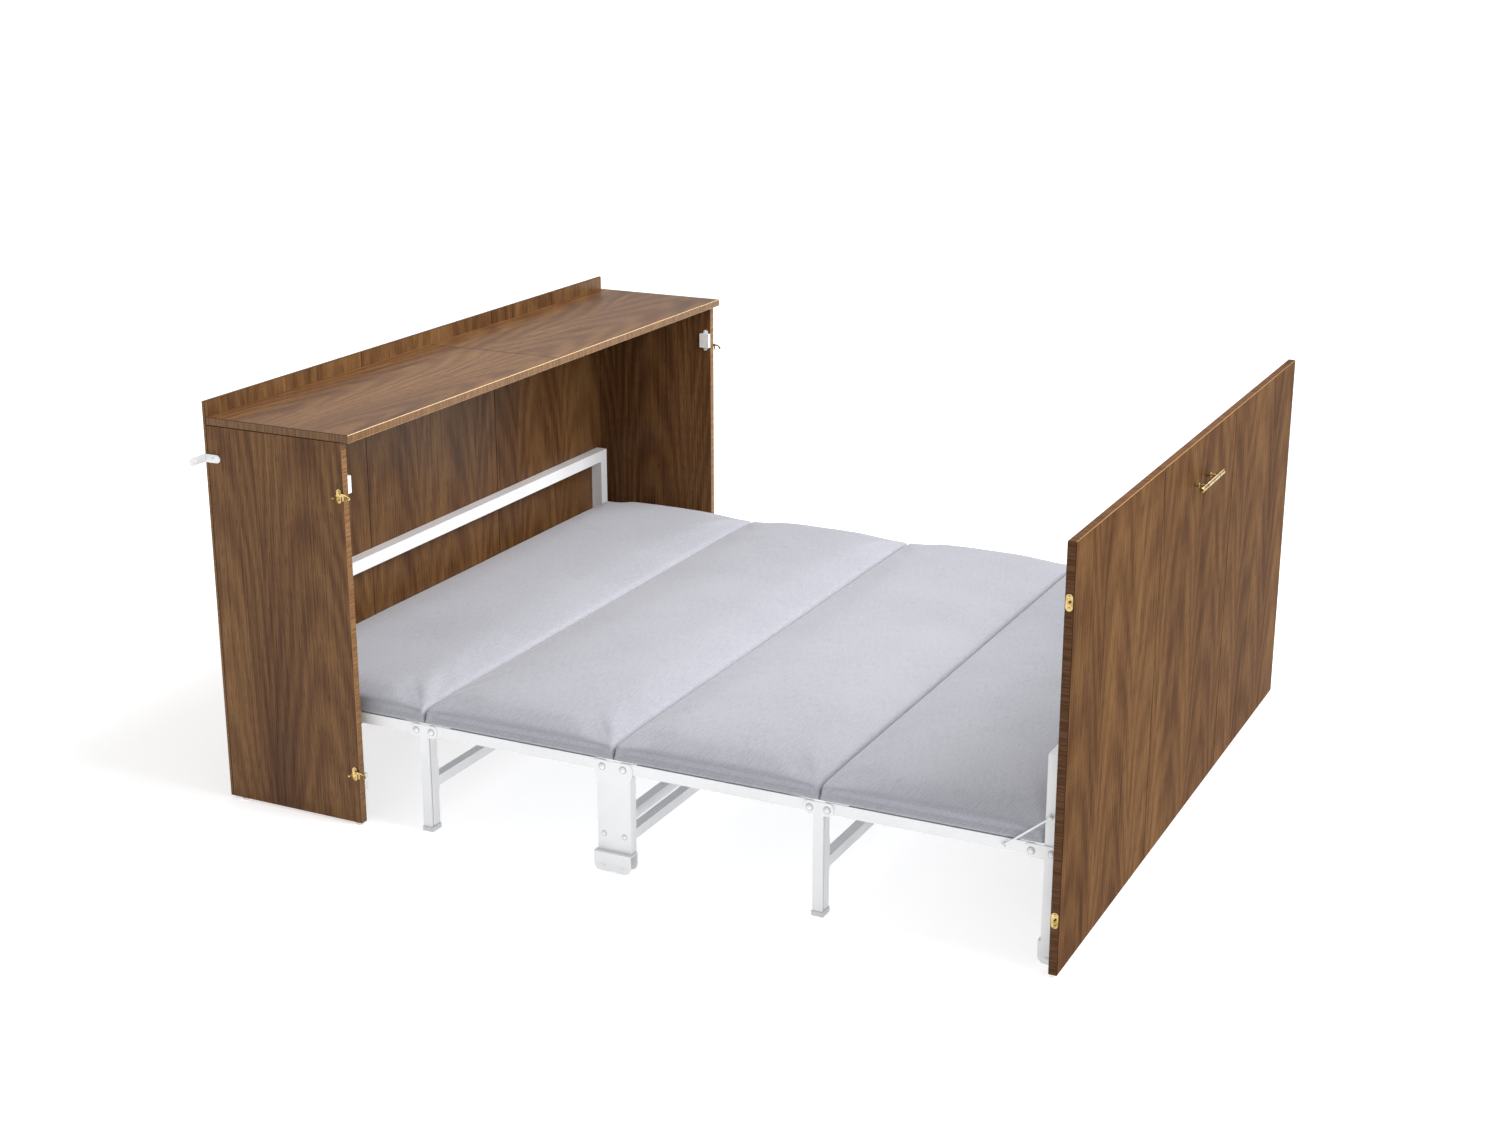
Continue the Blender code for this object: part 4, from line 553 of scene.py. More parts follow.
def polished_brass(name, settings):
    """Turned and stamped brass, polished and lacquered.

    To the eye it gives warm reflections with long soft highlights, a browner tone in patches,
    and hair-fine polishing marks.
    """
    material, tree, shader, coordinates = new_material(name, 0.2, 1.0)
    patches = add_node(tree, "ShaderNodeTexNoise", {"Vector": coordinates.outputs["Object"],
                                                    "Scale": 1 / (18.2 * MM), "Detail": 4.0})
    tint = add_node(tree, "ShaderNodeValToRGB", {0: patches.outputs[0]},
                    stops=((0.36, tuple(settings.brass_tarnish)), (0.56, tuple(settings.brass))))
    marks_place = add_node(tree, "ShaderNodeVectorMath", {0: coordinates.outputs["Object"],
                                                          1: repeats(3.846 * MM, 1.111 * MM, 0.3846 * MM)},
                           operation="MULTIPLY")
    marks = add_node(tree, "ShaderNodeTexNoise", {"Vector": marks_place.outputs[0], "Scale": 1.0,
                                                  "Detail": 2.0})
    dull = add_node(tree, "ShaderNodeMath", {0: marks.outputs[0], 1: 0.18, 2: 0.12},
                    operation="MULTIPLY_ADD")
    bumps = add_node(tree, "ShaderNodeBump", {"Height": marks.outputs[0], "Strength": 0.08,
                                              "Distance": 0.03 * MM})
    tree.links.new(tint.outputs[0], shader.inputs["Base Color"])
    tree.links.new(dull.outputs[0], shader.inputs["Roughness"])
    tree.links.new(bumps.outputs[0], shader.inputs["Normal"])
    return material


def moulded_plastic(name, tint, roughness):
    """Injection-moulded plastic straight from an eroded mould.

    To the eye it gives a dull, very finely grained surface with faint flow marks.
    """
    material, tree, shader, coordinates = new_material(name, roughness)
    flow = add_node(tree, "ShaderNodeTexNoise", {"Vector": coordinates.outputs["Object"],
                                                 "Scale": 1 / (16.67 * MM), "Detail": 2.0, "Distortion": 1.2})
    mix = add_node(tree, "ShaderNodeValToRGB", {0: flow.outputs[0]},
                   stops=((0.35, shaded(tint, 0.86)), (0.6, tuple(tint))))
    grain = add_node(tree, "ShaderNodeTexNoise", {"Vector": coordinates.outputs["Object"],
                                                  "Scale": 1 / (0.5556 * MM), "Detail": 1.0})
    bumps = add_node(tree, "ShaderNodeBump", {"Height": grain.outputs[0], "Strength": 0.25,
                                              "Distance": 0.06 * MM})
    tree.links.new(mix.outputs[0], shader.inputs["Base Color"])
    tree.links.new(bumps.outputs[0], shader.inputs["Normal"])
    return material


def woven_cover(name, settings):
    """A plain-woven polyester cover, sewn over foam.

    To the eye it gives fine crossing threads, a light speckle from uneven yarn, short linen-like
    streaks, faint creases, and a pale sheen where the cloth turns away.
    """
    material, tree, shader, coordinates = new_material(name, 0.82)
    shader.inputs["Sheen Weight"].default_value = 0.28
    shader.inputs["Sheen Roughness"].default_value = 0.45
    # Height is added to the way along the bed, so that threads run down the sides and ends
    # without drawing contour lines on the shallow crown
    spot = add_node(tree, "ShaderNodeSeparateXYZ", {0: coordinates.outputs["Object"]})
    down = add_node(tree, "ShaderNodeMath", {0: spot.outputs["Y"], 1: spot.outputs["Z"]}, operation="ADD")
    cloth = add_node(tree, "ShaderNodeCombineXYZ", {0: spot.outputs["X"], 1: down.outputs[0]})
    threads_place = add_node(tree, "ShaderNodeVectorMath",
                             {0: cloth.outputs[0], 1: (2 * math.pi / settings.thread_pitch,) * 3},
                             operation="MULTIPLY")
    waves = add_node(tree, "ShaderNodeVectorMath", {0: threads_place.outputs[0]}, operation="SINE")
    threads = add_node(tree, "ShaderNodeVectorMath", {0: waves.outputs[0], 1: (0.5, 0.5, 0.5)},
                       operation="DOT_PRODUCT")
    speckle = add_node(tree, "ShaderNodeTexNoise", {"Vector": coordinates.outputs["Object"],
                                                    "Scale": 1 / (2.381 * MM), "Detail": 3.0,
                                                    "Roughness": 0.7})
    slub_place = add_node(tree, "ShaderNodeVectorMath",
                          {0: cloth.outputs[0], 1: repeats(26.32 * MM, 3.03 * MM, 1)}, operation="MULTIPLY")
    slubs = add_node(tree, "ShaderNodeTexNoise", {"Vector": slub_place.outputs[0], "Scale": 1.0,
                                                  "Detail": 2.0})
    clouds = add_node(tree, "ShaderNodeTexNoise", {"Vector": coordinates.outputs["Object"],
                                                   "Scale": 1 / (200 * MM), "Detail": 2.0})
    first = add_node(tree, "ShaderNodeMath", {0: speckle.outputs[0], 1: 0.75, 2: -0.08},
                     operation="MULTIPLY_ADD")
    second = add_node(tree, "ShaderNodeMath", {0: slubs.outputs[0], 1: 0.35, 2: first.outputs[0]},
                      operation="MULTIPLY_ADD")
    third = add_node(tree, "ShaderNodeMath", {0: threads.outputs["Value"], 1: 0.07, 2: second.outputs[0]},
                     operation="MULTIPLY_ADD")
    yarn = add_node(tree, "ShaderNodeMath", {0: clouds.outputs[0], 1: 0.14, 2: third.outputs[0]},
                    operation="MULTIPLY_ADD")
    tint = add_node(tree, "ShaderNodeValToRGB", {0: yarn.outputs[0]},
                    stops=((0.36, tuple(settings.cloth_shade)), (0.60, tuple(settings.cloth))))
    crease_place = add_node(tree, "ShaderNodeVectorMath",
                            {0: cloth.outputs[0], 1: repeats(111.1 * MM, 38.46 * MM, 1)},
                            operation="MULTIPLY")
    creases = add_node(tree, "ShaderNodeTexNoise", {"Vector": crease_place.outputs[0], "Scale": 1.0,
                                                    "Detail": 3.0, "Distortion": 0.5})
    soft = add_node(tree, "ShaderNodeBump", {"Height": creases.outputs[0], "Strength": 0.16,
                                             "Distance": 1.2 * MM})
    fine = add_node(tree, "ShaderNodeBump", {"Height": yarn.outputs[0], "Strength": 0.35,
                                             "Distance": 0.5 * MM, "Normal": soft.outputs[0]})
    tree.links.new(tint.outputs[0], shader.inputs["Base Color"])
    tree.links.new(fine.outputs[0], shader.inputs["Normal"])
    return material


def plain_ground(name, settings):
    """Matt paper under the object: an even pale ground with the faintest change of tone."""
    material, tree, shader, coordinates = new_material(name, 0.9)
    fibre = add_node(tree, "ShaderNodeTexNoise", {"Vector": coordinates.outputs["Object"],
                                                  "Scale": 1 / (1667 * MM)})
    tint = add_node(tree, "ShaderNodeValToRGB", {0: fibre.outputs[0]},
                    stops=((0.3, shaded(settings.backdrop, 0.98)), (0.7, tuple(settings.backdrop))))
    tree.links.new(tint.outputs[0], shader.inputs["Base Color"])
    shader.inputs["Emission Color"].default_value = tuple(settings.backdrop)
    shader.inputs["Emission Strength"].default_value = settings.floor_glow
    return material


def finish_called(name):
    """A finish that an earlier step has made."""
    material = bpy.data.materials.get(name)
    if material is None:
        raise RuntimeError(f"The finish {name} isn't there yet; run the step that makes it first")
    return material


# Node trees for what repeats

HEAD_SIDES = 32
HEAD_RINGS = 8
SLOT_WIDTH_SHARE = 0.24
RING_SIDES = 36
SECTION_SIDES = 12
RING_FLATNESS_SHARE = 0.55


def new_tree(name, sizes):
    """An empty geometry tree with a geometry, some lengths and a material as its inputs."""
    tree = bpy.data.node_groups.new(name, "GeometryNodeTree")
    tree.interface.new_socket("Geometry", in_out="OUTPUT", socket_type="NodeSocketGeometry")
    tree.interface.new_socket("Geometry", in_out="INPUT", socket_type="NodeSocketGeometry")
    for size in sizes:
        tree.interface.new_socket(size, in_out="INPUT", socket_type="NodeSocketFloat")
    tree.interface.new_socket("Material", in_out="INPUT", socket_type="NodeSocketMaterial")
    return tree, add_node(tree, "NodeGroupInput").outputs


def set_on_points(tree, given, shape):
    """Finish a tree: stand the shape on every point, turned to that point's own direction."""
    facing = add_node(tree, "GeometryNodeInputNamedAttribute", {"Name": "facing"}, data_type="FLOAT_VECTOR")
    turn = add_node(tree, "FunctionNodeAlignRotationToVector", {"Vector": facing.outputs[0]}, axis="Z")
    stood = add_node(tree, "GeometryNodeInstanceOnPoints", {"Points": given["Geometry"], "Instance": shape,
                                                            "Rotation": turn.outputs[0]})
    real = add_node(tree, "GeometryNodeRealizeInstances", {"Geometry": stood.outputs[0]})
    finished = add_node(tree, "GeometryNodeSetMaterial", {"Geometry": real.outputs[0],
                                                          "Material": given["Material"]})
    add_node(tree, "NodeGroupOutput", {"Geometry": finished.outputs[0]})
    return tree


def head_tree(name, with_cross):
    """Domed heads: a cone's rings laid on a quarter ellipse, with or without a driver's cross."""
    tree, given = new_tree(name, ("Radius", "Height", "Recess"))
    cone = add_node(tree, "GeometryNodeMeshCone", {"Vertices": HEAD_SIDES, "Side Segments": HEAD_RINGS,
                                                   "Radius Top": 0.0, "Radius Bottom": 1.0, "Depth": 1.0})
    place = add_node(tree, "GeometryNodeInputPosition")
    parts = add_node(tree, "ShaderNodeSeparateXYZ", {0: place.outputs[0]})
    level = add_node(tree, "ShaderNodeVectorMath", {0: place.outputs[0], 1: (1.0, 1.0, 0.0)},
                     operation="MULTIPLY")
    out = add_node(tree, "ShaderNodeVectorMath", {0: level.outputs[0]}, operation="LENGTH")
    angle = add_node(tree, "ShaderNodeMath", {0: out.outputs["Value"], 1: math.pi / 2}, operation="MULTIPLY")
    sine = add_node(tree, "ShaderNodeMath", {0: angle.outputs[0]}, operation="SINE")
    cosine = add_node(tree, "ShaderNodeMath", {0: angle.outputs[0]}, operation="COSINE")
    not_zero = add_node(tree, "ShaderNodeMath", {0: out.outputs["Value"], 1: 0.0001}, operation="MAXIMUM")
    ratio = add_node(tree, "ShaderNodeMath", {0: sine.outputs[0], 1: not_zero.outputs[0]}, operation="DIVIDE")
    wide = add_node(tree, "ShaderNodeMath", {0: ratio.outputs[0], 1: given["Radius"]}, operation="MULTIPLY")
    x = add_node(tree, "ShaderNodeMath", {0: parts.outputs[0], 1: wide.outputs[0]}, operation="MULTIPLY")
    y = add_node(tree, "ShaderNodeMath", {0: parts.outputs[1], 1: wide.outputs[0]}, operation="MULTIPLY")
    z = add_node(tree, "ShaderNodeMath", {0: cosine.outputs[0], 1: given["Height"]}, operation="MULTIPLY")
    spot = add_node(tree, "ShaderNodeCombineXYZ", {0: x.outputs[0], 1: y.outputs[0], 2: z.outputs[0]})
    dome = add_node(tree, "GeometryNodeSetPosition", {"Geometry": cone.outputs["Mesh"],
                                                      "Position": spot.outputs[0]}).outputs[0]
    if with_cross:
        slot_width = add_node(tree, "ShaderNodeMath", {0: given["Recess"], 1: SLOT_WIDTH_SHARE},
                              operation="MULTIPLY")
        size = add_node(tree, "ShaderNodeCombineXYZ", {0: given["Recess"], 1: slot_width.outputs[0],
                                                       2: given["Height"]})
        top = add_node(tree, "ShaderNodeCombineXYZ", {2: given["Height"]})
        bar = add_node(tree, "GeometryNodeMeshCube", {"Size": size.outputs[0]})
        first = add_node(tree, "GeometryNodeTransform", {"Geometry": bar.outputs[0],
                                                         "Translation": top.outputs[0]})
        second = add_node(tree, "GeometryNodeTransform", {"Geometry": first.outputs[0],
                                                          "Rotation": (0.0, 0.0, math.pi / 2)})
        less = add_node(tree, "GeometryNodeMeshBoolean", {"Mesh 1": dome, "Mesh 2": first.outputs[0]},
                        operation="DIFFERENCE")
        dome = add_node(tree, "GeometryNodeMeshBoolean", {"Mesh 1": less.outputs[0],
                                                          "Mesh 2": second.outputs[0]},
                        operation="DIFFERENCE").outputs[0]
    return set_on_points(tree, given, dome)


def ring_tree(name):
    """Flat rings with a round section: washers and eyelets."""
    tree, given = new_tree(name, ("Radius", "Thickness"))
    path = add_node(tree, "GeometryNodeCurvePrimitiveCircle", {"Resolution": RING_SIDES,
                                                               "Radius": given["Radius"]})
    section = add_node(tree, "GeometryNodeCurvePrimitiveCircle", {"Resolution": SECTION_SIDES,
                                                                  "Radius": given["Thickness"]})
    tube = add_node(tree, "GeometryNodeCurveToMesh", {"Curve": path.outputs[0],
                                                      "Profile Curve": section.outputs[0]})
    flat = add_node(tree, "GeometryNodeTransform", {"Geometry": tube.outputs[0],
                                                    "Scale": (1.0, 1.0, RING_FLATNESS_SHARE)})
    return set_on_points(tree, given, flat.outputs[0])


def tree_called(name, make, *wants):
    """A node tree, made when it's first asked for."""
    return bpy.data.node_groups.get(name) or make(name, *wants)


def grow(name, tree, spots, values, body):
    """Run a node tree on a set of (place, direction) pairs and keep the result as a plain mesh."""
    seeds = bpy.data.meshes.new(name + "_points")
    seeds.from_pydata([tuple(place) for place, direction in spots], [], [])
    facing = seeds.attributes.new("facing", "FLOAT_VECTOR", "POINT")
    facing.data.foreach_set("vector", [value for place, direction in spots for value in direction])
    carrier = link_mesh(name + "_points", seeds)
    modifier = carrier.modifiers.new("nodes", "NODES")
    modifier.node_group = tree
    for item in tree.interface.items_tree:
        if item.item_type == "SOCKET" and item.in_out == "INPUT" and item.name in values:
            modifier[item.identifier] = values[item.name]
    mesh = evaluated_mesh(carrier)
    mesh.name = name
    bpy.data.objects.remove(carrier)
    bpy.data.meshes.remove(seeds)
    return keep_piece(link_mesh(name, mesh), body)


def cross_head(settings, radius, height, material):
    """What the tree for a screw with a driver's cross is given."""
    return {"Radius": radius, "Height": height, "Recess": 2 * radius * settings.recess_share,
            "Material": material}


def on_both_sides(out, places):
    """(place, direction) pairs at (y, z) places on the left and right, facing outwards."""
    return [((side * out, y, z), (side, 0.0, 0.0)) for side in BOTH_SIDES for y, z in places]


# Steps

class BED_OT_stage(bpy.types.Operator):
    """Set the floor, the light and the camera"""
    bl_idname = "bed.stage"
    bl_label = "Stage"

    def execute(self, context):
        settings = context.scene.bed_stage
        half = settings.floor_half
        sheet = bpy.data.meshes.new("studio_floor")
        sheet.from_pydata([(-half, -half, 0.0), (half, -half, 0.0), (half, half, 0.0), (-half, half, 0.0)],
                          [], [(0, 1, 2, 3)])
        floor = link_mesh("studio_floor", sheet, [plain_ground("studio_paper", settings)])
        world = bpy.data.worlds.new("studio_surround")
        world.use_nodes = True
        background = world.node_tree.nodes["Background"]
        background.inputs["Color"].default_value = tuple(settings.backdrop)
        background.inputs["Strength"].default_value = settings.surround
        context.scene.world = world
        sun = bpy.data.lights.new("key_light", "SUN")
        sun.energy = settings.key_strength
        sun.angle = settings.key_softness
        self.aim(context, sun, settings.key_place, (0.0, 0.0, 0.0))
        lamp = bpy.data.lights.new("fill_light", "AREA")
        lamp.energy = settings.fill_power
        lamp.shape = "SQUARE"
        lamp.size = settings.fill_size
        self.aim(context, lamp, settings.fill_place, settings.fill_target)
        self.place_camera(context, settings)
        context.scene.view_settings.view_transform = "Standard"
        return {"FINISHED"}

    def aim(self, context, lamp, place, target):
        """Hang a light and turn it towards a point."""
        light = bpy.data.objects.new(lamp.name, lamp)
        light.location = place
        light.rotation_euler = (Vector(target) - Vector(place)).to_track_quat("-Z", "Y").to_euler()
        context.scene.collection.objects.link(light)

    def place_camera(self, context, settings):
        """Stand the camera where the photograph was taken from."""
        heading, dip = settings.camera_heading, settings.camera_dip
        right = Vector((math.sin(heading), -math.cos(heading), 0.0))
        ahead = Vector((math.cos(heading) * math.cos(dip), math.sin(heading) * math.cos(dip), -math.sin(dip)))
        up = right.cross(ahead)
        turn = Matrix((right, up, -ahead)).transposed().to_4x4()
        lens = bpy.data.cameras.new("photo_camera")
        lens.sensor_width = settings.sensor_width
        lens.lens = settings.focal_length
        camera = bpy.data.objects.new("photo_camera", lens)
        camera.matrix_world = Matrix.Translation(Vector(settings.camera_place)) @ turn
        context.scene.collection.objects.link(camera)
        context.scene.camera = camera


class BED_OT_boards(bpy.types.Operator):
    """Finish the cabinet's boards and the front panel"""
    bl_idname = "bed.boards"
    bl_label = "Boards"

    def execute(self, context):
        settings = context.scene.bed_boards
        edge = settings.edge
        # The last number of each is a painted light level for how light falls on that board: the same laminate is
        # darkened on the sides, the back boards and the front panel, and lightened on the top
        side = (UPRIGHT_SIDE, edge, settings.side_arris_highlight, 0.14, "Y", 0.88)
        top = (LYING_TOP, settings.top_edge, settings.top_arris_highlight, 0.30, "Y", 1.15)
        back = (UPRIGHT_FRONT, edge, settings.back_arris, 0.14, "Z", 0.68)
        front = (UPRIGHT_FRONT, settings.panel_edge, settings.panel_arris_highlight, 0.002, "Z", 0.74)
        for seed, place in enumerate(("left", "right"), start=1):
            dress(f"side_panel_{place}", walnut(f"walnut_side_{place}", settings, seed, *side))
            dress(f"top_board_{place}", walnut(f"walnut_top_{place}", settings, seed + 2, *top))
        for seed, place in enumerate(("left", "middle", "right"), start=5):
            dress(f"back_board_{place}", walnut(f"walnut_back_{place}", settings, seed, *back))
            dress(f"front_panel_{place}", walnut(f"walnut_front_{place}", settings, seed + 3, *front))
        dress("top_batten", birch("bare_birch_plywood", settings.plywood, settings.glue_line,
                                  LYING_BATTEN, settings.batten_ply))
        decks = birch("lacquered_birch_plywood", settings.deck, settings.deck_line, LYING_DECK,
                      settings.deck_ply)
        for number in range(1, PAD_COUNT + 1):
            dress(f"section_{number}_deck", decks)
        return {"FINISHED"}


class BED_OT_steelwork(bpy.types.Operator):
    """Finish the white steel frames, stays and wall brackets"""
    bl_idname = "bed.steelwork"
    bl_label = "Steelwork"

    def execute(self, context):
        coat = powder_coat("white_powder_coat", context.scene.bed_steel)
        for name in nodes_with_slot("white_steel"):
            dress(name, coat)
        return {"FINISHED"}


class BED_OT_fittings(bpy.types.Operator):
    """Finish the handle, latches, catches, feet and rollers"""
    bl_idname = "bed.fittings"
    bl_label = "Fittings"

    def execute(self, context):
        settings = context.scene.bed_fittings
        finishes = {
            "brass": polished_brass("polished_brass", settings),
            "white_plastic": moulded_plastic("moulded_white_plastic", settings.white_plastic, 0.48),
            "grey_plastic": moulded_plastic("moulded_grey_plastic", settings.roller, 0.5),
        }
        for slot, material in finishes.items():
            for name in nodes_with_slot(slot):
                dress(name, material)
        pale = moulded_plastic("moulded_pale_plastic", settings.foot, 0.45)
        for leg in ("leg_1_2", "leg_3_4"):
            for side in ("left", "right"):
                dress(f"{leg}_foot_{side}", pale)
        moulded_plastic("moulded_washer_plastic", settings.washer, 0.42)
        return {"FINISHED"}


class BED_OT_pads(bpy.types.Operator):
    """Make the four foam pads and let their covers swell"""
    bl_idname = "bed.pads"
    bl_label = "Pads"

    # The start form's squares, and how full its outline is across the bed, along it and at the ends
    steps_x = 48
    steps_y = 26
    fullness_along = 2.6
    fullness_across = 15
    end_fullness = 2.2
    # Height up the side and how far it is drawn in there, as shares
    side_shares = ((0.75, 0.7), (0.5, 1.0), (0.25, 0.7), (0.0, 0.0))
    # How the cover behaves while it swells
    cover_quality = 5
    cover_mass = 0.3
    cover_stretch = 18.0
    cover_squeeze = 12.0
    cover_bend = 0.6
    # Where on the crown the evening starts, and over what height it grows, as shares of the crown
    evening_start_share = 0.25
    evening_growth_share = 0.3
    evening_factor = 0.5
    # Soft dips in the foam, as how many lie in a metre, and what keeps two pads' dips apart
    wide_dips = (5.0, 7.0)
    close_dips = (17.0, 24.0, 20.0)
    close_dip_share = 0.45
    wide_dip_step = 3.7
    close_dip_step = 9.1

    def execute(self, context):
        settings = context.scene.bed_pads
        cover = woven_cover("woven_grey_cover", settings)
        low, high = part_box("section_1_pad")
        half_x, half_y, base = (high.x - low.x) / 2, (high.y - low.y) / 2, low.z
        start = self.start_form(settings, half_x - settings.start_inset, half_y - settings.start_inset, base)
        shape = link_mesh("pad_shape", start)
        self.swell(context, shape, settings, base)
        for number in range(1, PAD_COUNT + 1):
            low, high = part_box(f"section_{number}_pad")
            self.keep_pad(shape, number, settings, cover, (low, high))
        bpy.data.objects.remove(shape)
        return {"FINISHED"}

    def start_form(self, settings, half_x, half_y, base):
        """The pad before it swells: flat below, drawn-in sides, rounded shoulders, crowned top."""
        bm = bmesh.new()
        shoulder = base + settings.side_height
        grid = []
        for step_x in range(self.steps_x + 1):
            row = []
            share_x = math.sin((step_x / self.steps_x - 0.5) * math.pi)
            end = (1 - abs(share_x) ** self.fullness_across) ** (1 / self.end_fullness)
            for step_y in range(self.steps_y + 1):
                share_y = math.sin((step_y / self.steps_y - 0.5) * math.pi)
                rise = (1 - abs(share_y) ** self.fullness_along) ** (1 / self.fullness_along) * end
                x, y = self.inside_corner(share_x * half_x, share_y * half_y, half_x, half_y, settings.corner)
                row.append(bm.verts.new((x, y, shoulder + settings.crown * settings.start_share * rise)))
            grid.append(row)
        for row, next_row in zip(grid, grid[1:]):
            for place in range(self.steps_y):
                bm.faces.new((row[place], row[place + 1], next_row[place + 1], next_row[place]))
        rim = [row[0] for row in grid] + grid[-1][1:] + [row[-1] for row in reversed(grid[:-1])]
        rim += list(reversed(grid[0][1:-1]))
        loops = [rim]
        for height, inset in self.side_shares:
            pull = settings.drawn_in * inset
            loops.append([bm.verts.new((vert.co.x * (1 - pull / half_x), vert.co.y * (1 - pull / half_y),
                                        base + settings.side_height * height)) for vert in rim])
        for loop, next_loop in zip(loops, loops[1:]):
            bridge(bm, loop, next_loop)
        bm.faces.new(loops[-1])
        return finished_mesh(bm, "pad_start")

    def inside_corner(self, x, y, half_x, half_y, corner):
        """Pull a point of a rectangle in to the round of its corner."""
        over_x, over_y = abs(x) - (half_x - corner), abs(y) - (half_y - corner)
        if over_x <= 0 or over_y <= 0:
            return x, y
        shrink = max(over_x, over_y) / math.hypot(over_x, over_y)
        return (math.copysign(half_x - corner + over_x * shrink, x),
                math.copysign(half_y - corner + over_y * shrink, y))

    def swell(self, context, shape, settings, base):
        """Remesh the pad, hold its underside, and let pressure push its cover out."""
        remesh = shape.modifiers.new("squares", "REMESH")
        remesh.mode = "VOXEL"
        remesh.voxel_size = settings.voxel
        # The squares' low steps on the shallow crown are pulled back onto the smooth start form
        smooth_form = link_mesh("pad_smooth_form", shape.data.copy())
        wrap = shape.modifiers.new("wrap", "SHRINKWRAP")
        wrap.target = smooth_form
        wrap.wrap_method = "NEAREST_SURFACEPOINT"
        squared = evaluated_mesh(shape)
        shape.modifiers.clear()
        shape.data = squared
        bpy.data.objects.remove(smooth_form)
        rest = [vertex.co.copy() for vertex in squared.vertices]
        underside = base + settings.voxel / 2
        held = shape.vertex_groups.new(name="held")
        held.add([place for place, spot in enumerate(rest) if spot.z < underside], 1.0, "REPLACE")
        cloth = shape.modifiers.new("cover", "CLOTH")
        cloth.settings.quality = self.cover_quality
        cloth.settings.mass = self.cover_mass
        cloth.settings.tension_stiffness = self.cover_stretch
        cloth.settings.compression_stiffness = self.cover_squeeze
        cloth.settings.bending_stiffness = self.cover_bend
        cloth.settings.use_pressure = True
        cloth.settings.uniform_pressure_force = settings.pressure
        cloth.settings.effector_weights.gravity = 0.0
        cloth.settings.vertex_group_mass = "held"
        cloth.point_cache.frame_start = 1
        cloth.point_cache.frame_end = settings.frames
        for step in range(1, settings.frames + 1):
            context.scene.frame_set(step)
        swollen = evaluated_mesh(shape)
        for vertex, spot in zip(swollen.vertices, rest):
            move = vertex.co - spot
            if move.length > settings.cap:
                vertex.co = spot + move * (settings.cap / move.length)
        shape.modifiers.clear()
        shape.vertex_groups.clear()
        shape.data = swollen
        context.scene.frame_set(1)
        # The cover evens out what is left of the steps on the crown
        crown = shape.vertex_groups.new(name="crown")
        start = base + settings.side_height + settings.crown * self.evening_start_share
        for vertex in swollen.vertices:
            weight = (vertex.co.z - start) / (settings.crown * self.evening_growth_share)
            if weight > 0:
                crown.add([vertex.index], min(weight, 1.0), "REPLACE")
        even = shape.modifiers.new("even", "SMOOTH")
        even.factor = self.evening_factor
        even.iterations = settings.evening
        even.vertex_group = "crown"
        shape.data = evaluated_mesh(shape)
        shape.modifiers.clear()
        shape.vertex_groups.clear()

    def keep_pad(self, shape, number, settings, cover, box):
        """Put one pad in its place, with its own soft dips, and let it ride on its section."""
        low, high = box
        middle, margin = (low.y + high.y) / 2, settings.margin
        mesh = shape.data.copy()
        top = high.z - low.z
        # The subdivision draws the corners in a little, so the pad is first made to fill its box
        reach_x = max(abs(vertex.co.x) for vertex in mesh.vertices)
        reach_y = max(abs(vertex.co.y) for vertex in mesh.vertices)
        fill_x = ((high.x - low.x) / 2 + settings.swollen_over) / reach_x
        fill_y = ((high.y - low.y) / 2 + settings.swollen_over) / reach_y
        for vertex in mesh.vertices:
            spot = vertex.co
            spot.x *= fill_x
            spot.y = spot.y * fill_y + middle
            rise = max(0.0, (spot.z - low.z) / top)
            wide = noise.noise(Vector((spot.x * self.wide_dips[0], spot.y * self.wide_dips[1],
                                       number * self.wide_dip_step)))
            close = noise.noise(Vector((spot.x * self.close_dips[0], spot.y * self.close_dips[1],
                                        number * self.close_dip_step + spot.z * self.close_dips[2])))
            spot.z += settings.unevenness * rise * (wide + self.close_dip_share * close)
            # The lower edge is tight, since the cover is stapled to the deck along it
            if rise < settings.tight_share:
                spot.x += math.copysign(max(0.0, settings.tight_width - (high.x - abs(spot.x))), spot.x)
            spot.x = min(max(spot.x, low.x + margin), high.x - margin)
            spot.y = min(max(spot.y, low.y + margin), high.y - margin)
            spot.z = max(spot.z, low.z)
        pad = link_mesh(f"section_{number}_foam_pad", mesh, [cover])
        finer = pad.modifiers.new("finer", "SUBSURF")
        finer.levels = 1
        finer.render_levels = 1
        fine = evaluated_mesh(pad)
        pad.modifiers.clear()
        pad.data = fine
        smooth(fine)
        keep_piece(pad, f"section_{number}")
        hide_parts(f"section_{number}_pad")
        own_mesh(pad)


